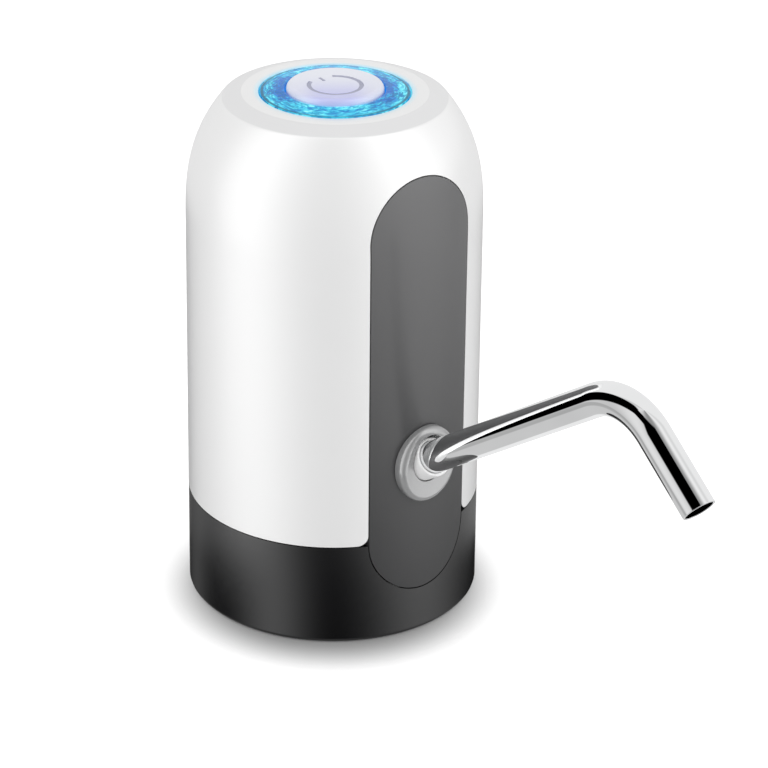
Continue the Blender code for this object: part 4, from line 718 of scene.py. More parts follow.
@dataclass(frozen=True)
class Metal:
    """A bare or plated metal, with the fine marks of its working."""

    name: str
    colour: Colour
    roughness: float
    working: Working = Working.CAST
    marks: float = 3.0 * MICRON
    marks_shine: float = 0.10
    tarnish: float = 0.14
    tarnish_shine: float = 0.06

    def material(self) -> bpy.types.Material:
        """Builds the material.

        Returns:
            The material.
        """
        graph = Graph.named(self.name)
        marks = graph.noise(
            900.0, detail=3.0, roughness=0.6, place=graph.stretched(self.working.value)
        )
        tarnish = graph.noise(70.0, detail=4.0, roughness=0.6, distortion=0.4)
        duller = tuple(channel * (1.0 - self.tarnish) for channel in self.colour)
        shine = marks * self.marks_shine + tarnish * self.tarnish_shine
        return graph.finish(
            {
                "Base Color": graph.mix(tarnish.ramp_between(0.45, 0.8), self.colour, duller),
                "Metallic": 1.0,
                "Roughness": shine + (self.roughness - 0.07),
                "Normal": graph.bump(marks, self.marks),
            }
        )


@dataclass(frozen=True)
class Plated:
    """Polished chrome plating over a drawn tube, with the faintest wipe marks.

    Its roughness is exactly 0, because that is how the room tells it from moulded gloss.
    """

    name: str
    colour: Colour
    roughness: float = 0.0
    relief: float = 12.0 * MICRON

    def material(self) -> bpy.types.Material:
        """Builds the material.

        Returns:
            The material.
        """
        graph = Graph.named(self.name)
        wiped = graph.noise(55.0, detail=3.0, distortion=0.3)
        grain = graph.noise(420.0, place=graph.stretched((1.0, 0.12, 0.12)))
        duller = tuple(channel * 0.95 for channel in self.colour)
        return graph.finish(
            {
                "Base Color": graph.mix(wiped.ramp_between(0.4, 0.8), self.colour, duller),
                "Metallic": 1.0,
                "Roughness": self.roughness,
                "Normal": graph.bump(wiped * 0.9 + grain * 0.1, self.relief),
            }
        )


@dataclass(frozen=True)
class Board:
    """A printed circuit board: tracks under green lacquer."""

    name: str
    colour: Colour
    track: Colour
    relief: float = 30.0 * MICRON

    def material(self) -> bpy.types.Material:
        """Builds the material.

        Returns:
            The material.
        """
        graph = Graph.named(self.name)
        cells = graph.value(
            "ShaderNodeTexVoronoi",
            {"distance": "MANHATTAN", "feature": "F1"},
            {"Vector": graph.place, "Scale": 330.0},
            "Distance",
        )
        tracks = cells.band(0.42, 0.55, 0.03)
        weave = graph.noise(1500.0)
        return graph.finish(
            {
                "Base Color": graph.mix(tracks, self.colour, self.track),
                "Roughness": weave * 0.1 + 0.3,
                "Normal": graph.bump(tracks, self.relief),
                "Coat Weight": 0.4,
                "Coat Roughness": 0.12,
            }
        )


FINISHES: dict[str, Moulded | Metal | Plated | Board | LitRing] = {
    "white_gloss": GlossWithPaintedLight(
        "shell_white", (0.81, 0.81, 0.81), 0.32, skin=0.8 * MICRON, skin_scale=800.0,
        flow=0.004, coat=1.0, coat_ior=1.62, coat_roughness=0.28,
    ),
    "white_satin": Moulded("fitting_white", (0.74, 0.74, 0.73), 0.38),
    "black_gloss": Moulded(
        "base_black", (0.0025, 0.0025, 0.003), 0.10, skin=0.6 * MICRON, skin_scale=800.0,
        flow=0.1, specular=0.4,
    ),
    "black_satin": Moulded(
        "socket_black", (0.014, 0.014, 0.015), 0.42, skin=10.0 * MICRON, skin_scale=1800.0
    ),
    "panel_grey": TrimLitFromAbove(
        "panel_grey", (0.030, 0.030, 0.031), 0.30, skin=1.2 * MICRON, skin_scale=1200.0,
        flow=0.01, specular=0.2,
    ),
    "rosette_grey": Moulded(
        "rosette_grey", (0.25, 0.252, 0.254), 0.24, skin=1.0 * MICRON, skin_scale=1500.0,
        flow=0.02, coat=1.0, coat_ior=1.6, coat_roughness=0.10,
    ),
    "seal_grey": Moulded("seal_grey", (0.42, 0.43, 0.44), 0.55, skin=10.0 * MICRON),
    "chrome": Plated("chrome", (0.93, 0.935, 0.94)),
    "steel": Metal("steel", (0.56, 0.57, 0.58), 0.27, Working.TURNED),
    "zinc": Metal("zinc", (0.60, 0.61, 0.62), 0.34, Working.DRAWN),
    "nickel": Metal("nickel", (0.64, 0.63, 0.58), 0.25, Working.CAST),
    "bronze": Metal("bronze", (0.52, 0.33, 0.15), 0.36, Working.TURNED),
    "copper": Metal("copper", (0.72, 0.38, 0.20), 0.30, Working.TURNED),
    "lamination": Metal(
        "lamination", (0.22, 0.22, 0.23), 0.45, Working.TURNED, marks=20.0 * MICRON
    ),
    "ferrite": Moulded(
        "ferrite", (0.045, 0.045, 0.05), 0.62, skin=20.0 * MICRON, skin_scale=1400.0, flow=0.1
    ),
    "pump_plastic": Moulded("pump_plastic", (0.10, 0.11, 0.12), 0.42, skin=10.0 * MICRON),
    "gear_white": Moulded("gear_white", (0.72, 0.71, 0.66), 0.36),
    "chassis_white": Moulded(
        "chassis_white", (0.66, 0.67, 0.67), 0.48, skin=10.0 * MICRON, skin_scale=1800.0
    ),
    "battery_wrap": Moulded(
        "battery_wrap", (0.03, 0.12, 0.36), 0.28, skin=6.0 * MICRON, skin_scale=700.0, flow=0.04
    ),
    "board_green": Board("board_green", (0.012, 0.11, 0.045), (0.03, 0.22, 0.09)),
    "switch_black": Moulded("switch_black", (0.02, 0.02, 0.02), 0.42),
    "led_white": Moulded("led_white", (0.80, 0.77, 0.55), 0.30),
    "clear_blue": LitRing("ring_blue"),
    "button_white": RingLitCap(
        "button_white", (0.76, 0.775, 0.84), 0.22, skin=0.6 * MICRON, skin_scale=900.0, flow=0.004
    ),
    "silicone": Moulded("silicone", (0.74, 0.74, 0.72), 0.50),
    "rubber_black": Moulded("rubber_black", (0.014, 0.014, 0.014), 0.66),
    "wire_red": Moulded("wire_red", (0.46, 0.02, 0.02), 0.42),
    "wire_black": Moulded("wire_black", (0.02, 0.02, 0.02), 0.42),
}
SIGN_PAINT = Moulded("sign_paint", (0.36, 0.37, 0.48), 0.35, skin=1.0 * MICRON)
COLLAR_WHITE = Moulded(
    "collar_white", (0.80, 0.80, 0.80), 0.24, skin=0.8 * MICRON, skin_scale=900.0, flow=0.01
)


# Modelling by hand


def deselect() -> None:
    """Leaves edit mode and deselects every object."""
    if bpy.context.object and bpy.context.object.mode != "OBJECT":
        bpy.ops.object.mode_set(mode="OBJECT")
    bpy.ops.object.select_all(action="DESELECT")


def activate(piece: bpy.types.Object) -> None:
    """Makes a piece the only one selected, and the active one.

    Args:
        piece: the piece.
    """
    deselect()
    piece.select_set(True)
    bpy.context.view_layer.objects.active = piece


def settle(piece: bpy.types.Object) -> bpy.types.Object:
    """Puts a piece's place, turn and scale into its mesh.

    Args:
        piece: the piece.

    Returns:
        The same piece.
    """
    activate(piece)
    bpy.ops.object.transform_apply(location=True, rotation=True, scale=True)
    return piece


def opened(name: str) -> bpy.types.Object:
    """Names the active piece and opens it in edit mode, with all of it selected.

    Args:
        name: the piece's name.

    Returns:
        The piece.
    """
    piece = bpy.context.object
    piece.name = piece.data.name = name
    bpy.ops.object.mode_set(mode="EDIT")
    bpy.ops.mesh.select_all(action="SELECT")
    return piece


def sealed(piece: bpy.types.Object, gap: float = MICRON) -> bpy.types.Object:
    """Merges doubles, turns the faces outwards and leaves edit mode.

    Args:
        piece: the piece that is open.
        gap: the distance up to which points are merged.

    Returns:
        The same piece.
    """
    bpy.ops.mesh.select_all(action="SELECT")
    bpy.ops.mesh.remove_doubles(threshold=gap)
    bpy.ops.mesh.normals_make_consistent(inside=False)
    bpy.ops.object.mode_set(mode="OBJECT")
    return piece


def draw_out(move: Sequence[float]) -> None:
    """Extrudes the selected edges by a vector."""
    bpy.ops.mesh.extrude_edges_move(TRANSFORM_OT_translate={"value": move})


def applied(piece: bpy.types.Object, kind: str, **settings: object) -> bpy.types.Object:
    """Gives a piece a modifier and applies it.

    Args:
        piece: the piece.
        kind: the modifier's type.
        settings: its properties.

    Returns:
        The same piece.
    """
    activate(piece)
    step = piece.modifiers.new(kind.title(), kind)
    for name, value in settings.items():
        setattr(step, name, value)
    bpy.ops.object.modifier_apply(modifier=step.name)
    return piece


def turned(
    name: str, outline: Outline, steps: int, middle: tuple[float, float] = (0.0, 0.0),
    closed: bool = True,
) -> bpy.types.Object:
    """Shapes a round piece by extruding a circle along an outline and scaling each new loop.

    Args:
        name: the piece's name.
        outline: radii and heights, down the outer side and back up the inner one.
        steps: how many sides the circle has.
        middle: the axis's X and Y.
        closed: whether the last loop is joined to the first. If not, both ends are filled.

    Returns:
        The piece, about an upright axis.
    """
    deselect()
    radius, height = outline[0]
    bpy.ops.mesh.primitive_circle_add(
        vertices=steps, radius=radius, fill_type="NOTHING", location=(0.0, 0.0, height)
    )
    piece = opened(name)
    if not closed:
        bpy.ops.mesh.edge_face_add()
        bpy.ops.mesh.select_all(action="SELECT")
        bpy.ops.mesh.select_mode(type="EDGE")
    for next_radius, next_height in outline[1:]:
        draw_out((0.0, 0.0, next_height - height))
        share = next_radius / radius
        bpy.ops.transform.resize(value=(share, share, 1.0), center_override=(0.0, 0.0, next_height))
        radius, height = next_radius, next_height
    if closed:
        bpy.ops.mesh.select_all(action="SELECT")
        bpy.ops.mesh.select_non_manifold(extend=False, use_wire=False, use_multi_face=False,
                                         use_non_contiguous=False, use_verts=False)
        bpy.ops.mesh.bridge_edge_loops()
    else:
        bpy.ops.mesh.edge_face_add()
    sealed(piece, 0.5 * MICRON)
    piece.location.x += middle[0]
    piece.location.y += middle[1]
    return settle(piece)


def upright_cut(
    name: str, half: tuple[float, float], corner: float, start: Sequence[float], depth: float,
    segments: int = 24,
) -> bpy.types.Object:
    """Makes a bar with a rounded outline that runs along -Y from its back end.

    Args:
        name: the bar's name.
        half: half of its width and of its height.
        corner: the radius of its corners.
        start: the middle of its back end.
        depth: how far it runs.
        segments: how many edges a corner has.

    Returns:
        The bar.
    """
    deselect()
    bpy.ops.mesh.primitive_plane_add(size=1.0, location=start, rotation=(RIGHT_ANGLE, 0.0, 0.0))
    bar = opened(name)
    bpy.ops.transform.resize(value=(2.0 * half[0], 1.0, 2.0 * half[1]), center_override=start)
    bpy.ops.mesh.bevel(
        offset=corner * CORNER_SHARE, segments=segments, affect="VERTICES", clamp_overlap=False
    )
    bpy.ops.mesh.select_all(action="SELECT")
    bpy.ops.mesh.remove_doubles(threshold=MICRON)
    bpy.ops.mesh.extrude_region_move(TRANSFORM_OT_translate={"value": (0.0, -depth, 0.0)})
    return settle(sealed(bar))


def carve(
    piece: bpy.types.Object, tool: bpy.types.Object, operation: str = "DIFFERENCE"
) -> bpy.types.Object:
    """Cuts, joins or crosses a piece with another, which is used up.

    Args:
        piece: the piece that is changed.
        tool: the other shape.
        operation: DIFFERENCE, UNION or INTERSECT.

    Returns:
        The changed piece.
    """
    applied(piece, "BOOLEAN", operation=operation, solver="EXACT", object=tool)
    bpy.data.objects.remove(tool, do_unlink=True)
    return piece


def block(name: str, low: Sequence[float], high: Sequence[float]) -> bpy.types.Object:
    """Makes a plain block, which cuts a piece or is shaped further.

    Args:
        name: its name.
        low: its lowest corner.
        high: its highest corner.

    Returns:
        The block.
    """
    deselect()
    middle = [(a + b) / 2.0 for a, b in zip(low, high)]
    bpy.ops.mesh.primitive_cube_add(size=1.0, location=middle)
    made = bpy.context.object
    made.name = made.data.name = name
    made.scale = [b - a for a, b in zip(low, high)]
    return settle(made)


def copied(piece: bpy.types.Object, name: str, turn: Matrix) -> bpy.types.Object:
    """Copies a piece with a mesh of its own and puts the copy in its place.

    Args:
        piece: the piece, modelled once.
        name: the copy's name.
        turn: where the copy goes.

    Returns:
        The copy.
    """
    made = bpy.data.objects.new(name, piece.data.copy())
    made.data.name = name
    bpy.context.scene.collection.objects.link(made)
    made.matrix_world = turn
    return settle(made)


def joined(pieces: Sequence[bpy.types.Object], name: str) -> bpy.types.Object:
    """Makes separate pieces one object.

    Args:
        pieces: the pieces.
        name: the object's name.

    Returns:
        The object.
    """
    activate(pieces[0])
    for piece in pieces[1:]:
        piece.select_set(True)
    bpy.ops.object.join()
    pieces[0].name = pieces[0].data.name = name
    return pieces[0]


def smoothed(piece: bpy.types.Object, angle: float = 40.0) -> bpy.types.Object:
    """Shades a piece smooth except over its sharp edges.

    Args:
        piece: the piece.
        angle: the least angle in degrees that stays sharp.

    Returns:
        The same piece.
    """
    activate(piece)
    bpy.ops.object.shade_smooth_by_angle(angle=math.radians(angle))
    return piece


def quarter(middle: tuple[float, float], radius: float, start: float, steps: int) -> Outline:
    """A quarter round of an outline, turning clockwise as radii grow and heights fall.

    Args:
        middle: the round's own middle, as a radius and a height.
        radius: its radius.
        start: the angle from straight up at which it starts.
        steps: how many edges it has.

    Returns:
        Its points.
    """
    angles = [start + math.pi / 2 * index / steps for index in range(steps + 1)]
    return [
        (middle[0] + radius * math.sin(angle), middle[1] + radius * math.cos(angle))
        for angle in angles
    ]


def leaned(piece: bpy.types.Object, place: Sequence[float], tilt: float) -> bpy.types.Object:
    """Tilts an upright piece about X and moves it, both in its mesh.

    Args:
        piece: the piece, made about the origin.
        place: where its origin goes.
        tilt: the angle about X.

    Returns:
        The same piece.
    """
    piece.rotation_euler = (tilt, 0.0, 0.0)
    piece.location = place
    return settle(piece)


def eased(
    piece: bpy.types.Object, width: float, segments: int = 2, angle: float = 30.0
) -> bpy.types.Object:
    """Rounds a piece's sharp edges and evens out its normals.

    Args:
        piece: the piece.
        width: the rounding's width.
        segments: how many faces the rounding has.
        angle: the least angle in degrees that counts as sharp.

    Returns:
        The same piece.
    """
    smoothed(piece, angle)
    applied(
        piece, "BEVEL", width=width, segments=segments, limit_method="ANGLE",
        angle_limit=math.radians(angle), miter_outer="MITER_ARC",
    )
    smoothed(piece, angle + 15.0)
    return applied(piece, "WEIGHTED_NORMAL", keep_sharp=True, weight=100)


def round_normals(
    piece: bpy.types.Object, middle: tuple[float, float], outline: Outline
) -> bpy.types.Object:
    """Gives the faces on a turned surface that surface's own normals, so that cuts leave no trace.

    Args:
        piece: the cut piece.
        middle: the axis's X and Y.
        outline: the surface's radii and heights, from the top down.

    Returns:
        The same piece.
    """
    slopes = []
    for (r1, z1), (r0, z0) in zip(outline, outline[1:]):
        slopes.append(Vector((z1 - z0, r0 - r1)).normalized())
    heights = [z for _, z in outline]

    def normal_at(point: Vector) -> Vector | None:
        """The surface's normal at a point.

        Args:
            point: a corner of the piece.

        Returns:
            The normal, or nothing where the corner isn't on the surface.
        """
        across = Vector((point.x - middle[0], point.y - middle[1]))
        for index, slope in enumerate(slopes):
            high, low = heights[index], heights[index + 1]
            if not low - 1e-7 <= point.z <= high + 1e-7:
                continue
            share = (high - point.z) / max(high - low, 1e-9)
            radius = outline[index][0] + (outline[index + 1][0] - outline[index][0]) * share
            if abs(across.length - radius) > OFF_SURFACE:
                return None
            before = slopes[max(index - 1, 0)]
            after = slopes[min(index + 1, len(slopes) - 1)]
            above = (before + slope) if before.dot(slope) > SAME_SLOPE else slope
            below = (after + slope) if after.dot(slope) > SAME_SLOPE else slope
            blend = above.normalized().lerp(below.normalized(), share).normalized()
            outward = across.normalized()
            return Vector((outward.x * blend.x, outward.y * blend.x, blend.y))
        return None

    mesh = piece.data
    normals = [Vector((0.0, 0.0, 0.0))] * len(mesh.loops)
    for face in mesh.polygons:
        for loop in face.loop_indices:
            found = normal_at(mesh.vertices[mesh.loops[loop].vertex_index].co)
            if found is not None and found.dot(face.normal) > SAME_SIDE:
                normals[loop] = found
    mesh.normals_split_custom_set(normals)
    return piece


# The housing


@dataclass
class Datum:
    """Heights, radii and places that the pieces share, taken from the solids."""

    axis_y: float = AXIS_Y
    seam: float = 25.8 * MM
    seam_radius: float = 35.81 * MM
    base_radius: float = 36.0 * MM
    shoulder: float = 96.13 * MM
    shoulder_radius: float = 35.37 * MM
    edge: float = 126.7 * MM
    edge_radius: float = 26.5 * MM
    top: float = 128.1 * MM
    flat_radius: float = 22.0 * MM
    ring_radius: float = 17.6 * MM
    dome_power: float = 2.878
    seat: float = 0.3 * MM
    shell_wall: float = 2.4 * MM
    outlet: Place = (0.0, 0.0110616, 0.0457883)
    outlet_rise: float = math.radians(34.1)
    port_height: float = 39.0 * MM
    steps: int = 160
    levels: int = 36

    @property
    def middle(self) -> tuple[float, float]:
        """The body's axis."""
        return (0.0, self.axis_y)

    @property
    def outlet_lean(self) -> float:
        """The angle by which an upright piece leans to lie along the outlet."""
        return RIGHT_ANGLE - self.outlet_rise

    def dome(self, inset: float, levels: int) -> Outline:
        """The dome's outline from the crown's edge down to the shoulder.

        Args:
            inset: how far inside the outer surface it lies.
            levels: how many rows of faces it gets.

        Returns:
            Radii and heights.
        """
        rise = self.edge - self.shoulder
        fall = self.shoulder_radius - self.edge_radius
        points = []
        for level in range(levels, -1, -1):
            share = level / levels
            radius = self.edge_radius + fall * (1.0 - share**self.dome_power)
            slope = fall * self.dome_power * share ** (self.dome_power - 1.0)
            length = math.hypot(rise, slope)
            inwards, down = inset * rise / length, inset * slope / length
            points.append((radius - inwards, self.shoulder + rise * share - down))
        return points

    def outside(self, inset: float = 0.0, low: float = 0.0) -> Outline:
        """The body's whole outline below the crown's edge.

        Args:
            inset: how far inside the outer surface it lies.
            low: the height where it ends.

        Returns:
            Radii and heights, from the top down.
        """
        drop = (self.seam - low) / self.seam
        last = self.seam_radius + (self.base_radius - self.seam_radius) * drop
        return self.dome(inset, self.levels) + [
            (self.seam_radius - inset, self.seam),
            (last - inset, low),
        ]

    def core(self, inset: float) -> bpy.types.Object:
        """The whole body as one solid, which trims a piece to the shell.

        Args:
            inset: how far inside the outer surface it ends.

        Returns:
            The solid.
        """
        outline = self.outside(inset, -MARGIN)
        return turned("core", outline, self.steps, self.middle, closed=False)


@dataclass
class SubAssembly:
    """Pieces that are modelled together round the body's axis."""

    datum: Datum
    materials: dict[str, bpy.types.Material]

    def dress(self, piece: bpy.types.Object, finish: str, body: str, *nodes: str) -> None:
        """Gives a piece its material, its body and the solids that it stands for.

        Args:
            piece: the piece.
            finish: the name of its finish.
            body: the body that it moves with.
            nodes: the solids that it replaces.
        """
        piece.data.materials.clear()
        piece.data.materials.append(self.materials[finish])
        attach(piece, body)
        if nodes:
            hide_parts(*nodes)
        LOG.info("%s: %d faces", piece.name, len(piece.data.polygons))


@dataclass
class Housing(SubAssembly):
    """The white shell, the black base and the grey front panel."""

    crown_wall: float = 2.0 * MM
    crown_lap: float = 0.35
    panel_wall: float = 1.2 * MM
    panel_half: float = 14.1 * MM
    panel_top: float = 116.8 * MM
    panel_seam: float = 0.3 * MM
    panel_back: float = 10.0 * MM
    panel_reach: float = 30.0 * MM
    corner: float = 2.5 * MM
    corner_back: float = 15.0 * MM
    corner_reach: float = 25.0 * MM
    spigot_top: float = 31.6 * MM
    spigot_wall: float = 1.6 * MM
    spigot_lead: float = 0.6 * MM
    skirt_inner: float = 33.6 * MM
    shelf_inner: float = 29.9 * MM
    shelf: Span = (3.4 * MM, 5.4 * MM)
    deck_drop: float = 0.8 * MM
    deck_wall: float = 2.0 * MM
    outlet_hole: float = 7.2 * MM
    outlet_span: Span = (14.0 * MM, -12.0 * MM)
    port_half: Span = (6.9 * MM, 4.2 * MM)
    port_corner: float = 2.6 * MM
    port_back: float = 45.0 * MM
    port_reach: float = 17.0 * MM

    @property
    def panel_low(self) -> float:
        """A height just under the panel's lower end."""
        return self.datum.seam - self.panel_half - 2.0 * MARGIN

    def panel_bar(self, name: str, grow: float) -> bpy.types.Object:
        """A bar with the panel's outline, in front of the body's axis.

        Args:
            name: its name.
            grow: how much wider than the panel it is, all round.

        Returns:
            The bar.
        """
        half = self.panel_half + grow
        top = self.panel_top + grow
        low = self.datum.seam - half
        start = (0.0, self.datum.axis_y - self.panel_back, (top + low) / 2.0)
        return upright_cut(name, (half, (top - low) / 2.0), half, start, self.panel_reach, 32)

    def panel_slab(self, name: str, inner: float, outer: float, grow: float) -> bpy.types.Object:
        """The part of the body's skin that lies inside the panel's outline.

        Args:
            name: its name.
            inner: the depth of its back.
            outer: the depth of its face.
            grow: how much wider than the panel it is.

        Returns:
            The slab.
        """
        face = self.datum.outside(outer, self.panel_low)
        back = self.datum.outside(inner, self.panel_low)
        slab = turned(name, face + back[::-1], self.datum.steps, self.datum.middle)
        return carve(slab, self.panel_bar(name + "_bar", grow), "INTERSECT")

    def outlet_bar(self) -> bpy.types.Object:
        """The tilted hole that the outlet's fitting passes through.

        Returns:
            The shape that is cut away.
        """
        outline = [(self.outlet_hole, height) for height in self.outlet_span]
        bar = turned("outlet_bar", outline, 64, closed=False)
        return leaned(bar, self.datum.outlet, self.datum.outlet_lean)

    def pocket(self) -> bpy.types.Object:
        """The recess that the panel lies in."""
        depth = self.panel_wall + self.datum.seat
        return self.panel_slab("panel_pocket", depth, -MARGIN, self.panel_seam)

    def lower_corner(self, side: int) -> bpy.types.Object:
        """What rounds a lower corner of the shell off, beside the panel.

        Args:
            side: 1 for the right and -1 for the left.

        Returns:
            The shape that is cut away.
        """
        half = (self.corner, self.corner)
        edge = self.panel_half + self.panel_seam
        foot = self.datum.seam + self.datum.seat
        back = self.datum.axis_y - self.corner_back
        square = upright_cut(
            "corner_square", half, 0.05 * MM, (side * edge, back, foot), self.corner_reach, 1
        )
        start = (side * (edge + self.corner), back + MARGIN, foot + self.corner)
        reach = self.corner_reach + 2.0 * MARGIN
        return carve(square, upright_cut("corner_round", half, self.corner, start, reach, 12))

    def port_bar(self) -> bpy.types.Object:
        """The hole in the shell's back for the charging port's frame.

        Returns:
            The shape that is cut away.
        """
        start = (0.0, self.datum.axis_y + self.port_back, self.datum.port_height)
        return upright_cut(
            "port_bar", self.port_half, self.port_corner, start, self.port_reach, 10
        )

    def shell(self) -> None:
        """Models the domed shell with its crown, whose edges are rounded in small steps."""
        datum = self.datum
        foot = datum.seam + datum.seat
        bore = datum.ring_radius + datum.seat
        under = datum.top - self.crown_wall
        crown = [
            (bore, datum.top - 0.3 * MM),
            (bore + 0.1 * MM, datum.top - 0.08 * MM),
            (bore + 0.35 * MM, datum.top),
            (datum.flat_radius - 0.5 * MM, datum.top),
            (datum.flat_radius, datum.top - 0.03 * MM),
            (datum.flat_radius + 0.5 * MM, datum.top - 0.16 * MM),
            (datum.edge_radius - 0.5 * MM, datum.edge + 0.16 * MM),
            (datum.edge_radius - 0.1 * MM, datum.edge + 0.02 * MM),
        ]
        chamfer = crown[5:]
        dome = datum.dome(0.0, datum.levels)
        dome[0] = tuple(
            below * self.crown_lap + first * (1.0 - self.crown_lap)
            for first, below in zip(dome[0], dome[1])
        )
        outside = dome + [(datum.seam_radius, foot)]
        outline = crown + outside
        outline += [(datum.seam_radius - datum.shell_wall, foot)]
        outline += datum.dome(datum.shell_wall, 10)[::-1]
        outline += [(datum.flat_radius - self.crown_wall / 2.0, under), (bore, under)]
        shell = turned("dome_shell", outline, datum.steps, datum.middle)
        for opening in (self.pocket, self.outlet_bar, self.port_bar):
            carve(shell, opening())
        for side in (-1, 1):
            carve(shell, self.lower_corner(side))
        round_normals(smoothed(shell), datum.middle, chamfer + outside)
        self.dress(shell, "white_gloss", "housing", "top_shell")

    def base(self) -> None:
        """Models the black base under the shell."""
        datum = self.datum
        spigot = datum.seam_radius - datum.shell_wall - datum.seat
        bore = spigot - self.spigot_wall
        deck = datum.seam - self.deck_drop
        shelf_low, shelf_top = self.shelf
        outside = [
            (datum.seam_radius - 0.05 * MM, datum.seam),
            (datum.seam_radius, datum.seam - 0.12 * MM),
            (datum.base_radius, 1.0 * MM),
            (datum.base_radius, 0.7 * MM),
            (datum.base_radius - 0.12 * MM, 0.3 * MM),
            (datum.base_radius - 0.35 * MM, 0.06 * MM),
            (datum.base_radius - 0.65 * MM, 0.0),
        ]
        outline = [
            (bore, self.spigot_top),
            (spigot - self.spigot_lead, self.spigot_top),
            (spigot, self.spigot_top - self.spigot_lead),
            (spigot, datum.seam),
            *outside,
            (self.skirt_inner, 0.0),
            (self.skirt_inner, shelf_low),
            (self.shelf_inner, shelf_low),
            (self.shelf_inner, shelf_top),
            (self.skirt_inner, shelf_top),
            (self.skirt_inner, deck - self.deck_wall),
            (self.shelf_inner, deck - self.deck_wall),
            (self.shelf_inner, deck),
            (bore, deck),
        ]
        base = turned("base_band", outline, datum.steps, datum.middle)
        carve(base, self.pocket())
        round_normals(smoothed(base), datum.middle, outside[1:])
        self.dress(base, "black_gloss", "housing", "base_cup")

    def panel(self) -> None:
        """Models the grey panel that follows the shell and laps the base."""
        panel = self.panel_slab("front_trim", self.panel_wall, 0.0, 0.0)
        carve(panel, self.outlet_bar())
        outside = self.datum.outside(0.0, self.panel_low)
        round_normals(smoothed(panel), self.datum.middle, outside)
        self.dress(panel, "panel_grey", "housing", "front_panel")


@dataclass
class Outlet(SubAssembly):
    """The rosette on the panel, the collar that turns in it and the bent spout."""

    fall: float = math.radians(38.8)
    rosette_half: Span = (8.4 * MM, 9.8 * MM)
    rosette_drop: float = 0.4 * MM
    rosette_rise: float = 2.3 * MM
    rosette_bevel: float = 1.5 * MM
    rosette_dish: float = 0.3 * MM
    rosette_core: float = 1.0 * MM
    hole_span: Span = (12.0 * MM, -10.0 * MM)
    collar_radius: float = 4.7 * MM
    collar_bore: float = 3.97 * MM
    collar_lead: float = 0.15 * MM
    collar_reach: float = 4.3 * MM
    collar_chamfer: float = 0.3 * MM
    collar_root: float = -4.02 * MM
    fitting_radius: float = 5.5 * MM
    groove: Span = (-5.02 * MM, -6.42 * MM)
    fitting_end: float = -9.0 * MM
    pipe_radius: float = 3.9 * MM
    pipe_wall: float = 0.5 * MM
    pipe_lip: float = 0.12 * MM
    rise_length: float = 69.8 * MM
    bend_radius: float = 15.8 * MM
    fall_length: float = 19.0 * MM
    plug: float = 7.2 * MM
    pipe_steps: tuple[int, int, int] = (12, 48, 4)

    def rosette(self) -> None:
        """Models the oval disc that covers the outlet's hole."""
        half_width, half_height = self.rosette_half
        rise, bevel = self.rosette_rise, self.rosette_bevel
        rim = half_height - bevel
        face = rise - self.rosette_dish
        outline = [(self.rosette_core, face), (self.collar_radius, face)]
        for share in (0.35, 0.7, 0.9):
            radius = self.collar_radius + (rim - self.collar_radius) * share
            outline.append((radius, face + self.rosette_dish * share**1.6))
        outline += quarter((rim, rise - bevel), bevel, 0.0, 10)
        outline.append((half_height, -rise))
        rosette = turned("outlet_rosette", outline, 128, closed=False)
        rosette.scale.x = half_width / half_height
        x, y, z = self.datum.outlet
        leaned(rosette, (x, y, z - self.rosette_drop), RIGHT_ANGLE)
        carve(rosette, self.datum.core(-self.datum.seat))
        radius = self.collar_radius + self.datum.seat
        ends = [(radius, height) for height in self.hole_span]
        hole = turned("rosette_hole", ends, 96, closed=False)
        carve(rosette, leaned(hole, self.datum.outlet, self.datum.outlet_lean))
        self.dress(smoothed(rosette), "rosette_grey", "housing", "outlet_escutcheon")

    def collar(self) -> None:
        """Models the collar that the spout plugs into, with the groove of its ring seal."""
        outer, bore, thick = self.collar_radius, self.collar_bore, self.fitting_radius
        reach, soft, lead = self.collar_reach, self.collar_chamfer, self.collar_lead
        high, low = self.groove
        passage = self.pipe_radius - self.pipe_wall
        seat = -self.plug - self.datum.seat
        outline = [
            (bore, reach - lead),
            (bore + lead, reach),
            (outer - soft, reach),
            (outer - soft * 0.3, reach - soft * 0.3),
            (outer, reach - soft),
            (outer, self.collar_root),
            (thick, self.collar_root),
            (thick, high),
            (outer, high),
            (outer, low),
            (thick, low),
            (thick, self.fitting_end),
            (passage, self.fitting_end),
            (passage, seat),
            (bore, seat),
        ]
        collar = smoothed(turned("spout_collar_ring", outline, 96), 35.0)
        leaned(collar, self.datum.outlet, self.datum.outlet_lean)
        self.dress(collar, "fitting", "spout_collar", "spout_ferrule")

    def spout(self) -> None:
        """Models the bent pipe: a circle drawn out, swept round the bend and drawn out again."""
        deselect()
        bpy.ops.mesh.primitive_circle_add(
            vertices=80, radius=self.pipe_radius, fill_type="NOTHING", location=(0.0, 0.0, 0.0)
        )
        pipe = opened("spout_tube")
        bpy.ops.transform.translate(value=(0.0, 0.0, -self.plug))
        rise_steps, bend_steps, fall_steps = self.pipe_steps
        for _ in range(rise_steps):
            draw_out((0.0, 0.0, (self.rise_length + self.plug) / rise_steps))
        turn = self.datum.outlet_rise + self.fall
        bpy.ops.mesh.spin(
            steps=bend_steps, angle=-turn, center=(0.0, -self.bend_radius, self.rise_length),
            axis=(1.0, 0.0, 0.0),
        )
        step = self.fall_length / fall_steps
        for _ in range(fall_steps):
            draw_out((0.0, -step * math.sin(turn), step * math.cos(turn)))
        applied(sealed(pipe), "SOLIDIFY", thickness=self.pipe_wall, offset=-1.0)
        eased(pipe, self.pipe_lip, 2, 50.0)
        leaned(pipe, self.datum.outlet, self.datum.outlet_lean)
        self.dress(pipe, "chrome", "spout", "spout_pipe")


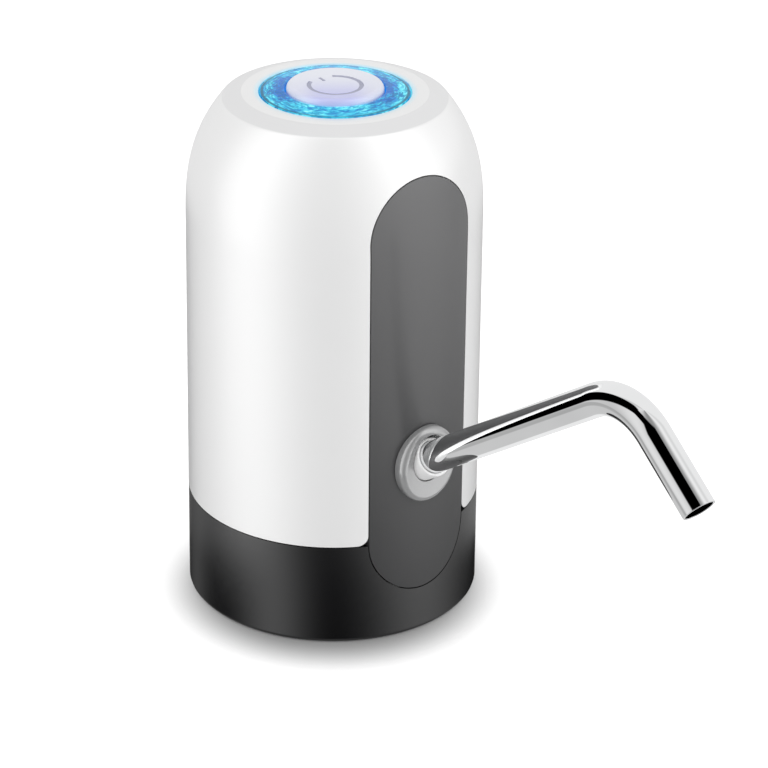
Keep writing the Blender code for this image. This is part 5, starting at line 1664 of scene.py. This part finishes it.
@dataclass
class Crown(SubAssembly):
    """The ring that lights up, the button inside it and the sign on the button."""

    ring_inner: float = 11.8 * MM
    ring_crown: float = 0.6 * MM
    ring_bevel: float = 0.4 * MM
    ring_lip: float = 19.8 * MM
    ring_lip_drop: float = 2.3 * MM
    ring_skirt: float = 18.4 * MM
    ring_bottom: float = 122.6 * MM
    ring_foot: float = 120.3 * MM
    ring_rows: int = 14
    ripple: float = 0.12 * MM
    ripple_size: float = 1.9 * MM
    button_radius: float = 11.5 * MM
    button_face: float = 129.15 * MM
    button_edge: float = 1.5 * MM
    button_crown: float = -0.8 * MM
    button_core: float = 0.4 * MM
    button_wall: float = 1.2 * MM
    button_rows: int = 12
    flange: float = 1.7 * MM
    flange_wall: float = 1.0 * MM
    stem_radius: float = 2.0 * MM
    stem_end: float = 124.8 * MM
    sign_radius: float = 6.15 * MM
    sign_stroke: float = 0.95 * MM
    sign_gap: float = math.radians(31.0)
    sign_depth: float = 0.16 * MM
    sign_foot: float = 0.1 * MM
    sign_paint: float = 0.07 * MM
    sign_room: float = 0.03 * MM
    bar_span: Span = (4.2 * MM, 6.2 * MM)
    bar_share: float = 0.36

    def ring(self) -> None:
        """Models the clear ring, its top drawn into faint ripples."""
        top, outer, inner = self.datum.top, self.datum.ring_radius, self.ring_inner
        soft, lip = self.ring_bevel, top - self.ring_lip_drop
        start, high = inner + soft, top + self.ring_crown
        outline = quarter((start, high - soft), soft, -RIGHT_ANGLE, 5)
        for row in range(1, self.ring_rows + 1):
            share = row / self.ring_rows
            radius = start + (outer - 0.2 * MM - start) * share
            outline.append((radius, high - self.ring_crown * share**1.25))
        outline += [
            (outer - 0.06 * MM, top - 0.05 * MM),
            (outer, top - 0.2 * MM),
            (outer, lip),
            (self.ring_lip, lip),
            (self.ring_lip, self.ring_foot),
            (self.ring_skirt, self.ring_foot),
            (self.ring_skirt, self.ring_bottom),
            (inner, self.ring_bottom),
        ]
        ring = turned("lit_ring", outline, 240, self.datum.middle)
        upper = ring.vertex_groups.new(name="upper")
        for vertex in ring.data.vertices:
            away = math.hypot(vertex.co.x, vertex.co.y - self.datum.axis_y)
            share = (away - start) / (outer - 0.6 * MM - start)
            if vertex.co.z > lip + 0.5 * MM and 0.0 < share < 1.0:
                upper.add([vertex.index], math.sin(math.pi * share) ** 0.5, "REPLACE")
        waves = bpy.data.textures.new("ripples", "CLOUDS")
        waves.noise_scale = self.ripple_size
        waves.noise_depth = 1
        applied(
            ring, "DISPLACE", texture=waves, texture_coords="LOCAL", direction="Z",
            mid_level=0.75, strength=self.ripple, vertex_group=upper.name,
        )
        self.dress(smoothed(ring), "clear_blue", "housing", "light_ring")

    def crowned(self, radius: float) -> float:
        """The height of the button's face at a distance from its middle."""
        share = radius / (self.button_radius - self.button_edge)
        return self.button_face - self.button_crown * share**2

    def sign(self, name: str, grow: float, top: float, bottom: float) -> bpy.types.Object:
        """Shapes the power sign: an open ring, swept from a small rectangle, and an upright bar.

        Args:
            name: its name.
            grow: how much wider than the sign it is, all round.
            top: its upper height.
            bottom: its lower height.

        Returns:
            The shape.
        """
        deselect()
        half = self.sign_stroke / 2 + grow
        gap = self.sign_gap - grow / self.sign_radius
        bpy.ops.mesh.primitive_plane_add(
            size=1.0, location=(0.0, 0.0, 0.0), rotation=(RIGHT_ANGLE, 0.0, 0.0)
        )
        loop = bpy.context.object
        loop.scale = (2.0 * half, top - bottom, 1.0)
        settle(loop)
        loop.location = (self.sign_radius, 0.0, (top + bottom) / 2)
        settle(loop)
        loop.rotation_euler = (0.0, 0.0, RIGHT_ANGLE + gap)
        settle(loop)
        opened(name)
        bpy.ops.mesh.spin(
            steps=72, angle=2.0 * gap - math.tau, center=(0.0, 0.0, 0.0), axis=(0.0, 0.0, 1.0)
        )
        sealed(loop)
        width = self.sign_stroke * self.bar_share + grow
        near, far = self.bar_span
        bar = block(name + "_bar", (-width, near - grow, bottom), (width, far + grow, top))
        whole = joined([loop, bar], name)
        whole.location = (*self.datum.middle, 0.0)
        return settle(whole)

    def button(self) -> None:
        """Models the button's cap with the groove of its sign, and the paint in the groove."""
        face, radius, edge = self.button_face, self.button_radius, self.button_edge
        rim, inner = radius - edge, radius - self.button_wall
        flange_top = self.ring_bottom - self.datum.seat
        shares = [row / self.button_rows for row in range(1, self.button_rows + 1)]
        crown = [(self.button_core, face)]
        crown += [(rim * share, self.crowned(rim * share)) for share in shares]
        tilt = math.atan(2.0 * self.button_crown / rim)
        for share in shares:
            angle = tilt + (RIGHT_ANGLE - tilt) * share
            across = (math.sin(angle) - math.sin(tilt)) / (1.0 - math.sin(tilt))
            down = (math.cos(tilt) - math.cos(angle)) / math.cos(tilt)
            crown.append((rim + edge * across, face - self.button_crown - edge * down))
        outline = crown + [
            (radius, flange_top),
            (radius + self.flange, flange_top),
            (radius + self.flange, flange_top - self.flange_wall),
            (inner, flange_top - self.flange_wall),
            (inner, face - edge),
            (self.stem_radius, face - edge),
            (self.stem_radius, self.stem_end),
        ]
        button = turned("button_cap", outline, 128, self.datum.middle, closed=False)
        floor = self.crowned(self.sign_radius) - self.sign_depth
        foot = floor - self.sign_foot
        carve(button, self.sign("sign_groove", self.sign_room, face + MARGIN, foot))
        round_normals(smoothed(button), self.datum.middle, crown)
        self.dress(button, "button_white", "button", "power_button")
        paint = smoothed(self.sign("button_sign", 0.0, floor + self.sign_paint, foot))
        self.dress(paint, "sign", "button")


@dataclass
class Port(SubAssembly):
    """The charging port in the shell's back: its frame and the socket behind it."""

    half: Span = (5.6 * MM, 2.9 * MM)
    corner: float = 1.6 * MM
    wall: float = 1.0 * MM
    lip: float = 1.6 * MM
    lip_wall: float = 1.5 * MM
    sunk: float = 0.12 * MM
    socket_half: Span = (3.8 * MM, 1.4 * MM)
    socket_wall: float = 0.3 * MM
    socket_round: float = 0.92
    socket_span: Span = (23.1738 * MM, 28.6738 * MM)
    tongue_half: Span = (2.9 * MM, 0.33 * MM)
    tongue_start: float = 1.05 * MM
    tongue_length: float = 3.3 * MM
    contacts: int = 6
    contact_span: Span = (0.9 * MM, 3.0 * MM)
    contact_share: float = 0.28
    contact_thin: float = 0.05 * MM
    contact_stand: float = 0.01 * MM
    frame_edge: float = 0.22 * MM
    socket_edge: float = 0.08 * MM
    tongue_edge: float = 0.12 * MM
    contact_edge: float = 0.02 * MM

    def bar(
        self, name: str, grow: float, corner: float, near: float, far: float
    ) -> bpy.types.Object:
        """A rounded bar round the port's opening, between two distances behind the axis.

        Args:
            name: its name.
            grow: how much wider than the opening it is.
            corner: the radius of its corners.
            near: where it starts, behind the body's axis.
            far: where it ends.

        Returns:
            The bar.
        """
        half = (self.half[0] + grow, self.half[1] + grow)
        start = (0.0, self.datum.axis_y + far, self.datum.port_height)
        return upright_cut(name, half, corner, start, far - near, 12)

    def frame(self) -> None:
        """Models the frame that lines the port, flush with the shell."""
        datum = self.datum
        outer = datum.base_radius + 2.0 * MARGIN
        back = self.socket_span[1] + datum.seat
        rounding = self.corner + self.wall
        frame = self.bar("port_lining", self.wall, rounding, back, outer)
        carve(frame, datum.core(self.sunk), "INTERSECT")
        reach = self.wall + self.lip
        inside = datum.outside(datum.shell_wall, -MARGIN)
        radius = min(point[0] for point in inside[-2:]) - datum.seat
        face = math.sqrt(radius**2 - (self.half[0] + reach) ** 2) - datum.seat
        carve(frame, self.bar("port_lip", reach, rounding, face - self.lip_wall, face), "UNION")
        carve(frame, self.bar("port_mouth", 0.0, self.corner, back - MARGIN, outer + MARGIN))
        eased(frame, self.frame_edge, 3, 50.0)
        self.dress(frame, "black_satin", "housing", "port_frame")

    def socket(self) -> None:
        """Models the socket's drawn shell, and the tongue with its contacts inside."""
        near, far = self.socket_span
        height, axis_y = self.datum.port_height, self.datum.axis_y
        shells = []
        for name, wall, margin in (
            ("charge_socket", 0.0, 0.0), ("socket_hollow", self.socket_wall, MARGIN)
        ):
            half_x, half_z = (size - wall for size in self.socket_half)
            start = (0.0, axis_y + far + margin, height)
            shells.append(
                upright_cut(
                    name, (half_x, half_z), half_z * self.socket_round, start, far - near, 12
                )
            )
        shell = eased(carve(*shells), self.socket_edge, 2, 50.0)
        self.dress(shell, "nickel", "housing", "usb_receptacle")
        wide, thin = self.tongue_half
        low = axis_y + near + self.tongue_start
        tongue = block(
            "socket_tongue",
            (-wide, low, height - thin),
            (wide, low + self.tongue_length, height + thin),
        )
        self.dress(eased(tongue, self.tongue_edge, 3), "switch_black", "housing")
        pitch = 2.0 * wide / (self.contacts + 1)
        half_wide, half_thick = pitch * self.contact_share, self.contact_thin
        start, end = (low + reach for reach in self.contact_span)
        pads = []
        for side in (-1, 1):
            z = height + side * (thin + self.contact_stand)
            for index in range(self.contacts):
                x = -wide + pitch * (index + 1)
                pad = block(
                    f"pad_{side}_{index}",
                    (x - half_wide, start, z - half_thick),
                    (x + half_wide, end, z + half_thick),
                )
                pads.append(eased(pad, self.contact_edge, 1))
        contacts = joined(pads, "socket_contacts")
        self.dress(contacts, "bronze", "housing")


@dataclass
class Neck(SubAssembly):
    """What the pump stands on the bottle with, seen from below: the socket and its screws."""

    hole: float = 3.6 * MM
    deck: Span = (22.6 * MM, 25.0 * MM)
    outer: float = 29.6 * MM
    flange: Span = (33.3 * MM, 3.1 * MM)
    flange_bevel: float = 0.3 * MM
    lift: float = 0.6 * MM
    bore: float = 28.0 * MM
    bore_round: float = 0.5 * MM
    lead: float = 1.0 * MM
    ribs: int = 8
    rib_radius: float = 1.0 * MM
    rib_core: float = 0.1 * MM
    rib_circle: float = 28.5 * MM
    rib_span: Span = (3.1 * MM, 19.3 * MM)
    screws: int = 3
    screw_circle: float = 19.3 * MM
    screw_radius: float = 1.1 * MM
    screw_head: Span = (2.2 * MM, 1.3 * MM)
    screw_head_round: float = 0.7 * MM
    screw_head_gap: float = 0.1 * MM
    screw_tip: float = 26.7 * MM
    screw_point: Span = (0.3 * MM, 0.4 * MM)
    cross_half: Span = (1.25 * MM, 0.28 * MM)
    cross_depth: float = 0.75 * MM

    def spot(self, angle: float, radius: float) -> Matrix:
        """A place round the body's axis.

        Args:
            angle: the angle from +X.
            radius: the distance from the axis.

        Returns:
            The turn and the move that take a piece there from the origin.
        """
        x, y = radius * math.cos(angle), radius * math.sin(angle) + self.datum.axis_y
        return Matrix.Translation((x, y, 0.0)) @ Matrix.Rotation(angle, 4, "Z")

    def screw_spot(self, index: int) -> Matrix:
        """The place of a screw, the first straight behind the axis."""
        return self.spot(RIGHT_ANGLE + math.tau * index / self.screws, self.screw_circle)

    def socket(self) -> None:
        """Models the socket that drops over the bottle's neck, with its grip ribs."""
        under, top = self.deck
        flange_radius, flange_top = self.flange
        soft = self.bore_round
        outline = [
            (self.hole, top),
            (self.outer, top),
            (self.outer, flange_top),
            (flange_radius, flange_top),
            (flange_radius, self.lift + self.flange_bevel),
            (flange_radius - self.flange_bevel, self.lift),
            (self.bore + self.lead, self.lift),
            (self.bore + self.lead * 0.6, self.lift + self.lead * 0.2),
            (self.bore, self.lift + self.lead),
            (self.bore, under - soft),
            (self.bore - soft * 0.3, under - soft * 0.3),
            (self.bore - soft, under),
            (self.hole, under),
        ]
        socket = turned("bottle_socket", outline, 160, self.datum.middle)
        low, high = self.rib_span
        radius, core = self.rib_radius, self.rib_core
        ends = quarter((core, high - radius), radius - core, 0.0, 4)
        ends += quarter((core, low + radius), radius - core, RIGHT_ANGLE, 4)
        rib = turned("rib", ends, 20, closed=False)
        step = math.tau / self.ribs
        ribs = [
            copied(rib, f"rib_{index}", self.spot(step * index, self.rib_circle))
            for index in range(self.ribs)
        ]
        bpy.data.objects.remove(rib, do_unlink=True)
        carve(socket, joined(ribs, "ribs"), "UNION")
        radius = self.screw_radius + self.datum.seat
        ends = [(radius, top + MARGIN), (radius, under - MARGIN)]
        bores = []
        for index in range(self.screws):
            middle = tuple(self.screw_spot(index).translation[:2])
            bores.append(turned(f"bore_{index}", ends, 24, middle, closed=False))
        carve(socket, joined(bores, "bores"))
        self.dress(smoothed(socket, 35.0), "black_satin", "housing", "neck_socket")

    def screw(self) -> None:
        """Models a pan-head screw with a cross recess, and copies it into its places."""
        head_radius, head_height = self.screw_head
        head_top = self.deck[0] - self.screw_head_gap
        head_low = head_top - head_height
        core, point = self.screw_point
        soft = self.screw_head_round
        outline = [
            (core, self.screw_tip),
            (self.screw_radius - core, self.screw_tip),
            (self.screw_radius, self.screw_tip - point),
            (self.screw_radius, head_top),
            (head_radius, head_top),
            *quarter((head_radius - soft, head_low + soft), soft, RIGHT_ANGLE, 6),
        ]
        model = turned("screw", outline, 40, closed=False)
        long, short = self.cross_half
        low, high = head_low - MARGIN, head_low + self.cross_depth
        for name, x, y in (("slot_a", long, short), ("slot_b", short, long)):
            carve(model, block(name, (-x, -y, low), (x, y, high)))
        smoothed(model, 30.0)
        for index in range(self.screws):
            screw = copied(model, f"deck_screw_{index + 1}", self.screw_spot(index))
            self.dress(screw, "steel", "housing", f"base_screw_{index + 1}")
        bpy.data.objects.remove(model, do_unlink=True)


# The studio


@dataclass
class Studio:
    """The floor, the room round the object and the camera.

    Angles of the room are in degrees: a side angle is 0 towards the camera and grows to its
    right, and an upward angle is 0 at the level. A light is given by its middle, its width and
    its brightness, a dark gap by where it starts and ends and how soft its edges are, and a
    change from one level to another by where it starts and ends.
    """

    datum: Datum
    azimuth: float = math.radians(37.45)
    focal_pixels: float = 2871.1
    frame_pixels: float = 768.0
    sensor: float = 36.0
    camera_right: Place = (0.99982688, -0.01310821, 0.01320536)
    camera_up: Place = (-0.00605312, 0.44196129, 0.8970137)
    camera_ahead: Place = (0.0175945, 0.89693834, -0.44180544)
    camera_place: Place = (0.0, -630.865 * MM, 362.649 * MM)
    clip: Span = (0.05, 20.0)
    floor_radius: float = 6.0
    floor_drop: float = 0.1 * MM
    floor_grey: Colour = (0.80, 0.80, 0.80)
    shadow_grey: Colour = (0.34, 0.34, 0.34)
    shadow_start: float = -1.0 * MM
    shadow_reach: float = 17.5 * MM
    shadow_shift: float = 8.0 * MM
    floor_glow: float = 0.42
    shadow_glow: float = 0.04
    level: float = 1.04
    front_gain: float = 0.10
    lower_lights: tuple[Lobe, ...] = (
        (-46.0, 26.0, 1.75), (71.0, 37.0, 1.5), (-133.0, 22.0, 0.22)
    )
    upper_lights: tuple[Lobe, ...] = (
        (-67.0, 34.0, 3.2), (62.0, 38.0, 3.0), (-125.0, 20.0, 0.3), (128.0, 30.0, 0.5)
    )
    side_light: tuple[Lobe, ...] = ((95.0, 40.0, 0.8),)
    lower_level: float = 0.01
    upper_level: float = 0.14
    behind: Span = (165.0, 176.0)
    behind_level: float = 0.8
    rear: Span = (90.0, 115.0)
    rear_level: float = 0.76
    top: Span = (64.0, 76.0)
    top_level: float = 1.5
    below: Span = (-39.0, -34.0)
    below_level: float = 0.62
    panels: tuple[Lobe, ...] = ((-72.0, 30.0, 0.5), (75.0, 35.0, 0.6))
    panel_level: float = 0.28
    panel_rear_level: float = 0.86
    gap_across: Place = (-0.368, -0.841, -0.397)
    gap_onward: Place = (-0.330, -0.281, 0.901)
    gap_lean: float = 0.3
    gap_width: Lobe = (-0.17, 0.27, 0.035)
    gap_start: Span = (-0.09, -0.05)
    gap_end: Span = (64.0, 70.0)
    gap_side: Lobe = (-133.0, -70.0, 4.0)
    bridge_side: Lobe = (-86.0, -48.0, 4.0)
    bridge_height: Lobe = (37.0, 62.0, 3.0)
    over_side: Lobe = (-51.0, 6.0, 4.0)
    over_start: Span = (4.0, 22.0)
    over_end: Span = (60.0, 66.0)

    def turned_to_camera(self, x: float, y: float, z: float) -> Vector:
        """Turns a vector of the camera's own frame about the body's axis.

        Args:
            x: to the camera's right.
            y: away from the camera.
            z: up.

        Returns:
            The vector in the object's frame.
        """
        return Matrix.Rotation(-self.azimuth, 3, "Z") @ Vector((x, y, z))

    def camera(self) -> None:
        """Sets the camera where the photograph was taken from."""
        right = self.turned_to_camera(*self.camera_right)
        up = self.turned_to_camera(*self.camera_up)
        ahead = self.turned_to_camera(*self.camera_ahead)
        place = self.turned_to_camera(*self.camera_place) + Vector(AXIS_FOOT)
        data = bpy.data.cameras.new("camera")
        data.lens = self.focal_pixels / self.frame_pixels * self.sensor
        data.sensor_width = self.sensor
        data.clip_start, data.clip_end = self.clip
        camera = bpy.data.objects.new("camera", data)
        turn = Matrix((right, up, -ahead)).transposed().to_4x4()
        camera.matrix_world = Matrix.Translation(place) @ turn
        bpy.context.scene.collection.objects.link(camera)
        bpy.context.scene.camera = camera

    def floor(self) -> None:
        """Lays a pale floor that is white to the camera, keeps the object's shadow and adds a
        painted contact shadow round the base.
        """
        deselect()
        bpy.ops.mesh.primitive_circle_add(
            vertices=96, radius=self.floor_radius, fill_type="NGON",
            location=(0.0, 0.0, -self.floor_drop),
        )
        floor = settle(bpy.context.object)
        floor.name = floor.data.name = "floor"
        graph = Graph.named("floor_white")
        # Painted contact shadow: round the base the floor is greyed and its glow dimmed, the patch
        # shifted towards the camera.
        aside = graph.along(self.turned_to_camera(1.0, 0.0, 0.0), AXIS_FOOT)
        nearer = graph.along(self.turned_to_camera(0.0, -1.0, 0.0), AXIS_FOOT) - self.shadow_shift
        foot = self.datum.base_radius - self.shadow_shift
        away = (aside * aside + nearer * nearer).maths("SQRT")
        open_share = away.ramp_between(foot + self.shadow_start, foot + self.shadow_reach)
        seen = graph.ray("Is Camera Ray")
        mirrored = graph.ray("Is Glossy Ray", "Is Transmission Ray")
        matt = graph.node(
            "ShaderNodeBsdfDiffuse", None,
            {"Color": graph.mix(open_share, self.shadow_grey, self.floor_grey)},
        )
        strength = seen * (open_share * self.floor_glow + self.shadow_glow)
        glow = graph.node(
            "ShaderNodeEmission", None, {"Color": (1.0, 1.0, 1.0), "Strength": strength}
        )
        both = graph.node("ShaderNodeAddShader", None, {0: matt.outputs[0], 1: glow.outputs[0]})
        clear = graph.node("ShaderNodeBsdfTransparent")
        mixed = graph.node(
            "ShaderNodeMixShader", None, {0: mirrored, 1: both.outputs[0], 2: clear.outputs[0]}
        )
        graph.node("ShaderNodeOutputMaterial", None, {"Surface": mixed.outputs[0]})
        floor.data.materials.append(graph.owner)

    @staticmethod
    def lights(side: Field, rows: Sequence[Lobe]) -> Field:
        """Soft upright lights round the room, added up.

        Args:
            side: the side angle.
            rows: each light's middle, its width and its brightness.

        Returns:
            Their brightness.
        """
        peaks = []
        for middle, width, height in rows:
            off = (side - middle) / width
            peaks.append((off * off * -1.0).maths("EXPONENT") * height)
        return sum(peaks[1:], peaks[0])

    def soft_room(self, side: Field, up: Field) -> Field:
        """What moulded gloss mirrors: two tall bright lights, and white behind and above.

        Args:
            side: the side angle.
            up: the upward angle.

        Returns:
            The room's brightness.
        """
        spread = side.maths("ABSOLUTE")
        behind = spread.ramp_between(*self.behind) * self.behind_level
        lower = self.lights(side, self.lower_lights) + behind + self.lower_level
        upper = self.lights(side, self.upper_lights) + behind + self.upper_level
        walls = lower.into(upper, up.ramp_between(-29.3, -28.8))
        high = self.lights(side, self.side_light) * up.ramp_between(-4.0, 10.0)
        room = upper.into(self.rear_level, spread.ramp_between(*self.rear)) + high
        room = room.into(self.top_level, up.ramp_between(*self.top))
        below = 1.0 - up.ramp_between(*self.below)
        return walls.into(room, up.ramp_between(-23.0, -20.0)).into(self.below_level, below)

    def keen_room(self, graph: Graph, side: Field, up: Field) -> Field:
        """What polished metal mirrors: plainer panels with dark gaps between them.

        Args:
            graph: the room's graph.
            side: the side angle.
            up: the upward angle.

        Returns:
            The room's brightness.
        """
        spread = side.maths("ABSOLUTE")
        below = 1.0 - up.ramp_between(*self.below)
        across = graph.along(self.turned_to_camera(*self.gap_across))
        onward = graph.along(self.turned_to_camera(*self.gap_onward)) + across * self.gap_lean
        left_gap = (
            across.band(*self.gap_width)
            * onward.ramp_between(*self.gap_start)
            * side.band(*self.gap_side)
            * (1.0 - up.ramp_between(*self.gap_end))
        )
        bridge = side.band(*self.bridge_side) * up.band(*self.bridge_height)
        over_gap = (
            side.band(*self.over_side)
            * up.ramp_between(*self.over_start)
            * (1.0 - up.ramp_between(*self.over_end))
        )
        room = self.lights(side, self.panels) + self.panel_level
        room = room.into(self.panel_rear_level, spread.ramp_between(*self.rear))
        room = room * (up.ramp_between(-24.0, -18.0) * 0.3 + 0.7)
        room = room.into(spread.ramp_between(158.0, 172.0) * 0.28 + 0.6, below)
        return room * (1.0 - left_gap) * (1.0 - bridge) * (1.0 - over_gap)

    def surroundings(self) -> None:
        """Fills the room: white to the camera, plain for matt light, and drawn for mirrors."""
        world = bpy.data.worlds.new("studio")
        graph = Graph(world)
        degrees = math.degrees(1.0)
        right = graph.along(self.turned_to_camera(1.0, 0.0, 0.0))
        nearer = graph.along(self.turned_to_camera(0.0, -1.0, 0.0))
        side = right.maths("ARCTAN2", nearer) * degrees
        up = graph.axis("Z").maths("ARCSINE") * degrees
        soft, keen = self.soft_room(side, up), self.keen_room(graph, side, up)
        room = soft.into(keen, graph.ray("Is Singular Ray"))
        plain = nearer * self.front_gain + self.level
        mirrored = graph.ray("Is Glossy Ray", "Is Transmission Ray")
        strength = plain.into(room, mirrored).into(1.0, graph.ray("Is Camera Ray"))
        background = graph.node(
            "ShaderNodeBackground", None, {"Color": (1.0, 1.0, 1.0), "Strength": strength}
        )
        graph.node("ShaderNodeOutputWorld", None, {"Surface": background.outputs[0]})
        bpy.context.scene.world = world

    def build(self) -> None:
        """Sets up everything round the object."""
        self.camera()
        self.floor()
        self.surroundings()
        bpy.context.scene.view_settings.view_transform = "Standard"


def main() -> None:
    """Builds the looks piece by piece."""
    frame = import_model()
    nodes = frame["nodes"]
    finishes = {slot: finish.material() for slot, finish in FINISHES.items()}
    finishes["sign"] = SIGN_PAINT.material()
    finishes["fitting"] = COLLAR_WHITE.material()
    for node in nodes.values():
        for slot in node.material_slots:
            slot.material = finishes[slot.material.name.split(".")[0]]
    LOG.info("%d solids dressed", len(nodes))
    datum = Datum()
    Studio(datum).build()
    housing = Housing(datum, finishes)
    housing.shell()
    housing.base()
    housing.panel()
    outlet = Outlet(datum, finishes)
    outlet.rosette()
    outlet.collar()
    outlet.spout()
    crown = Crown(datum, finishes)
    crown.ring()
    crown.button()
    port = Port(datum, finishes)
    port.frame()
    port.socket()
    neck = Neck(datum, finishes)
    neck.socket()
    neck.screw()
    deselect()


if __name__ == "__main__":
    logging.basicConfig(level=logging.INFO)
    main()
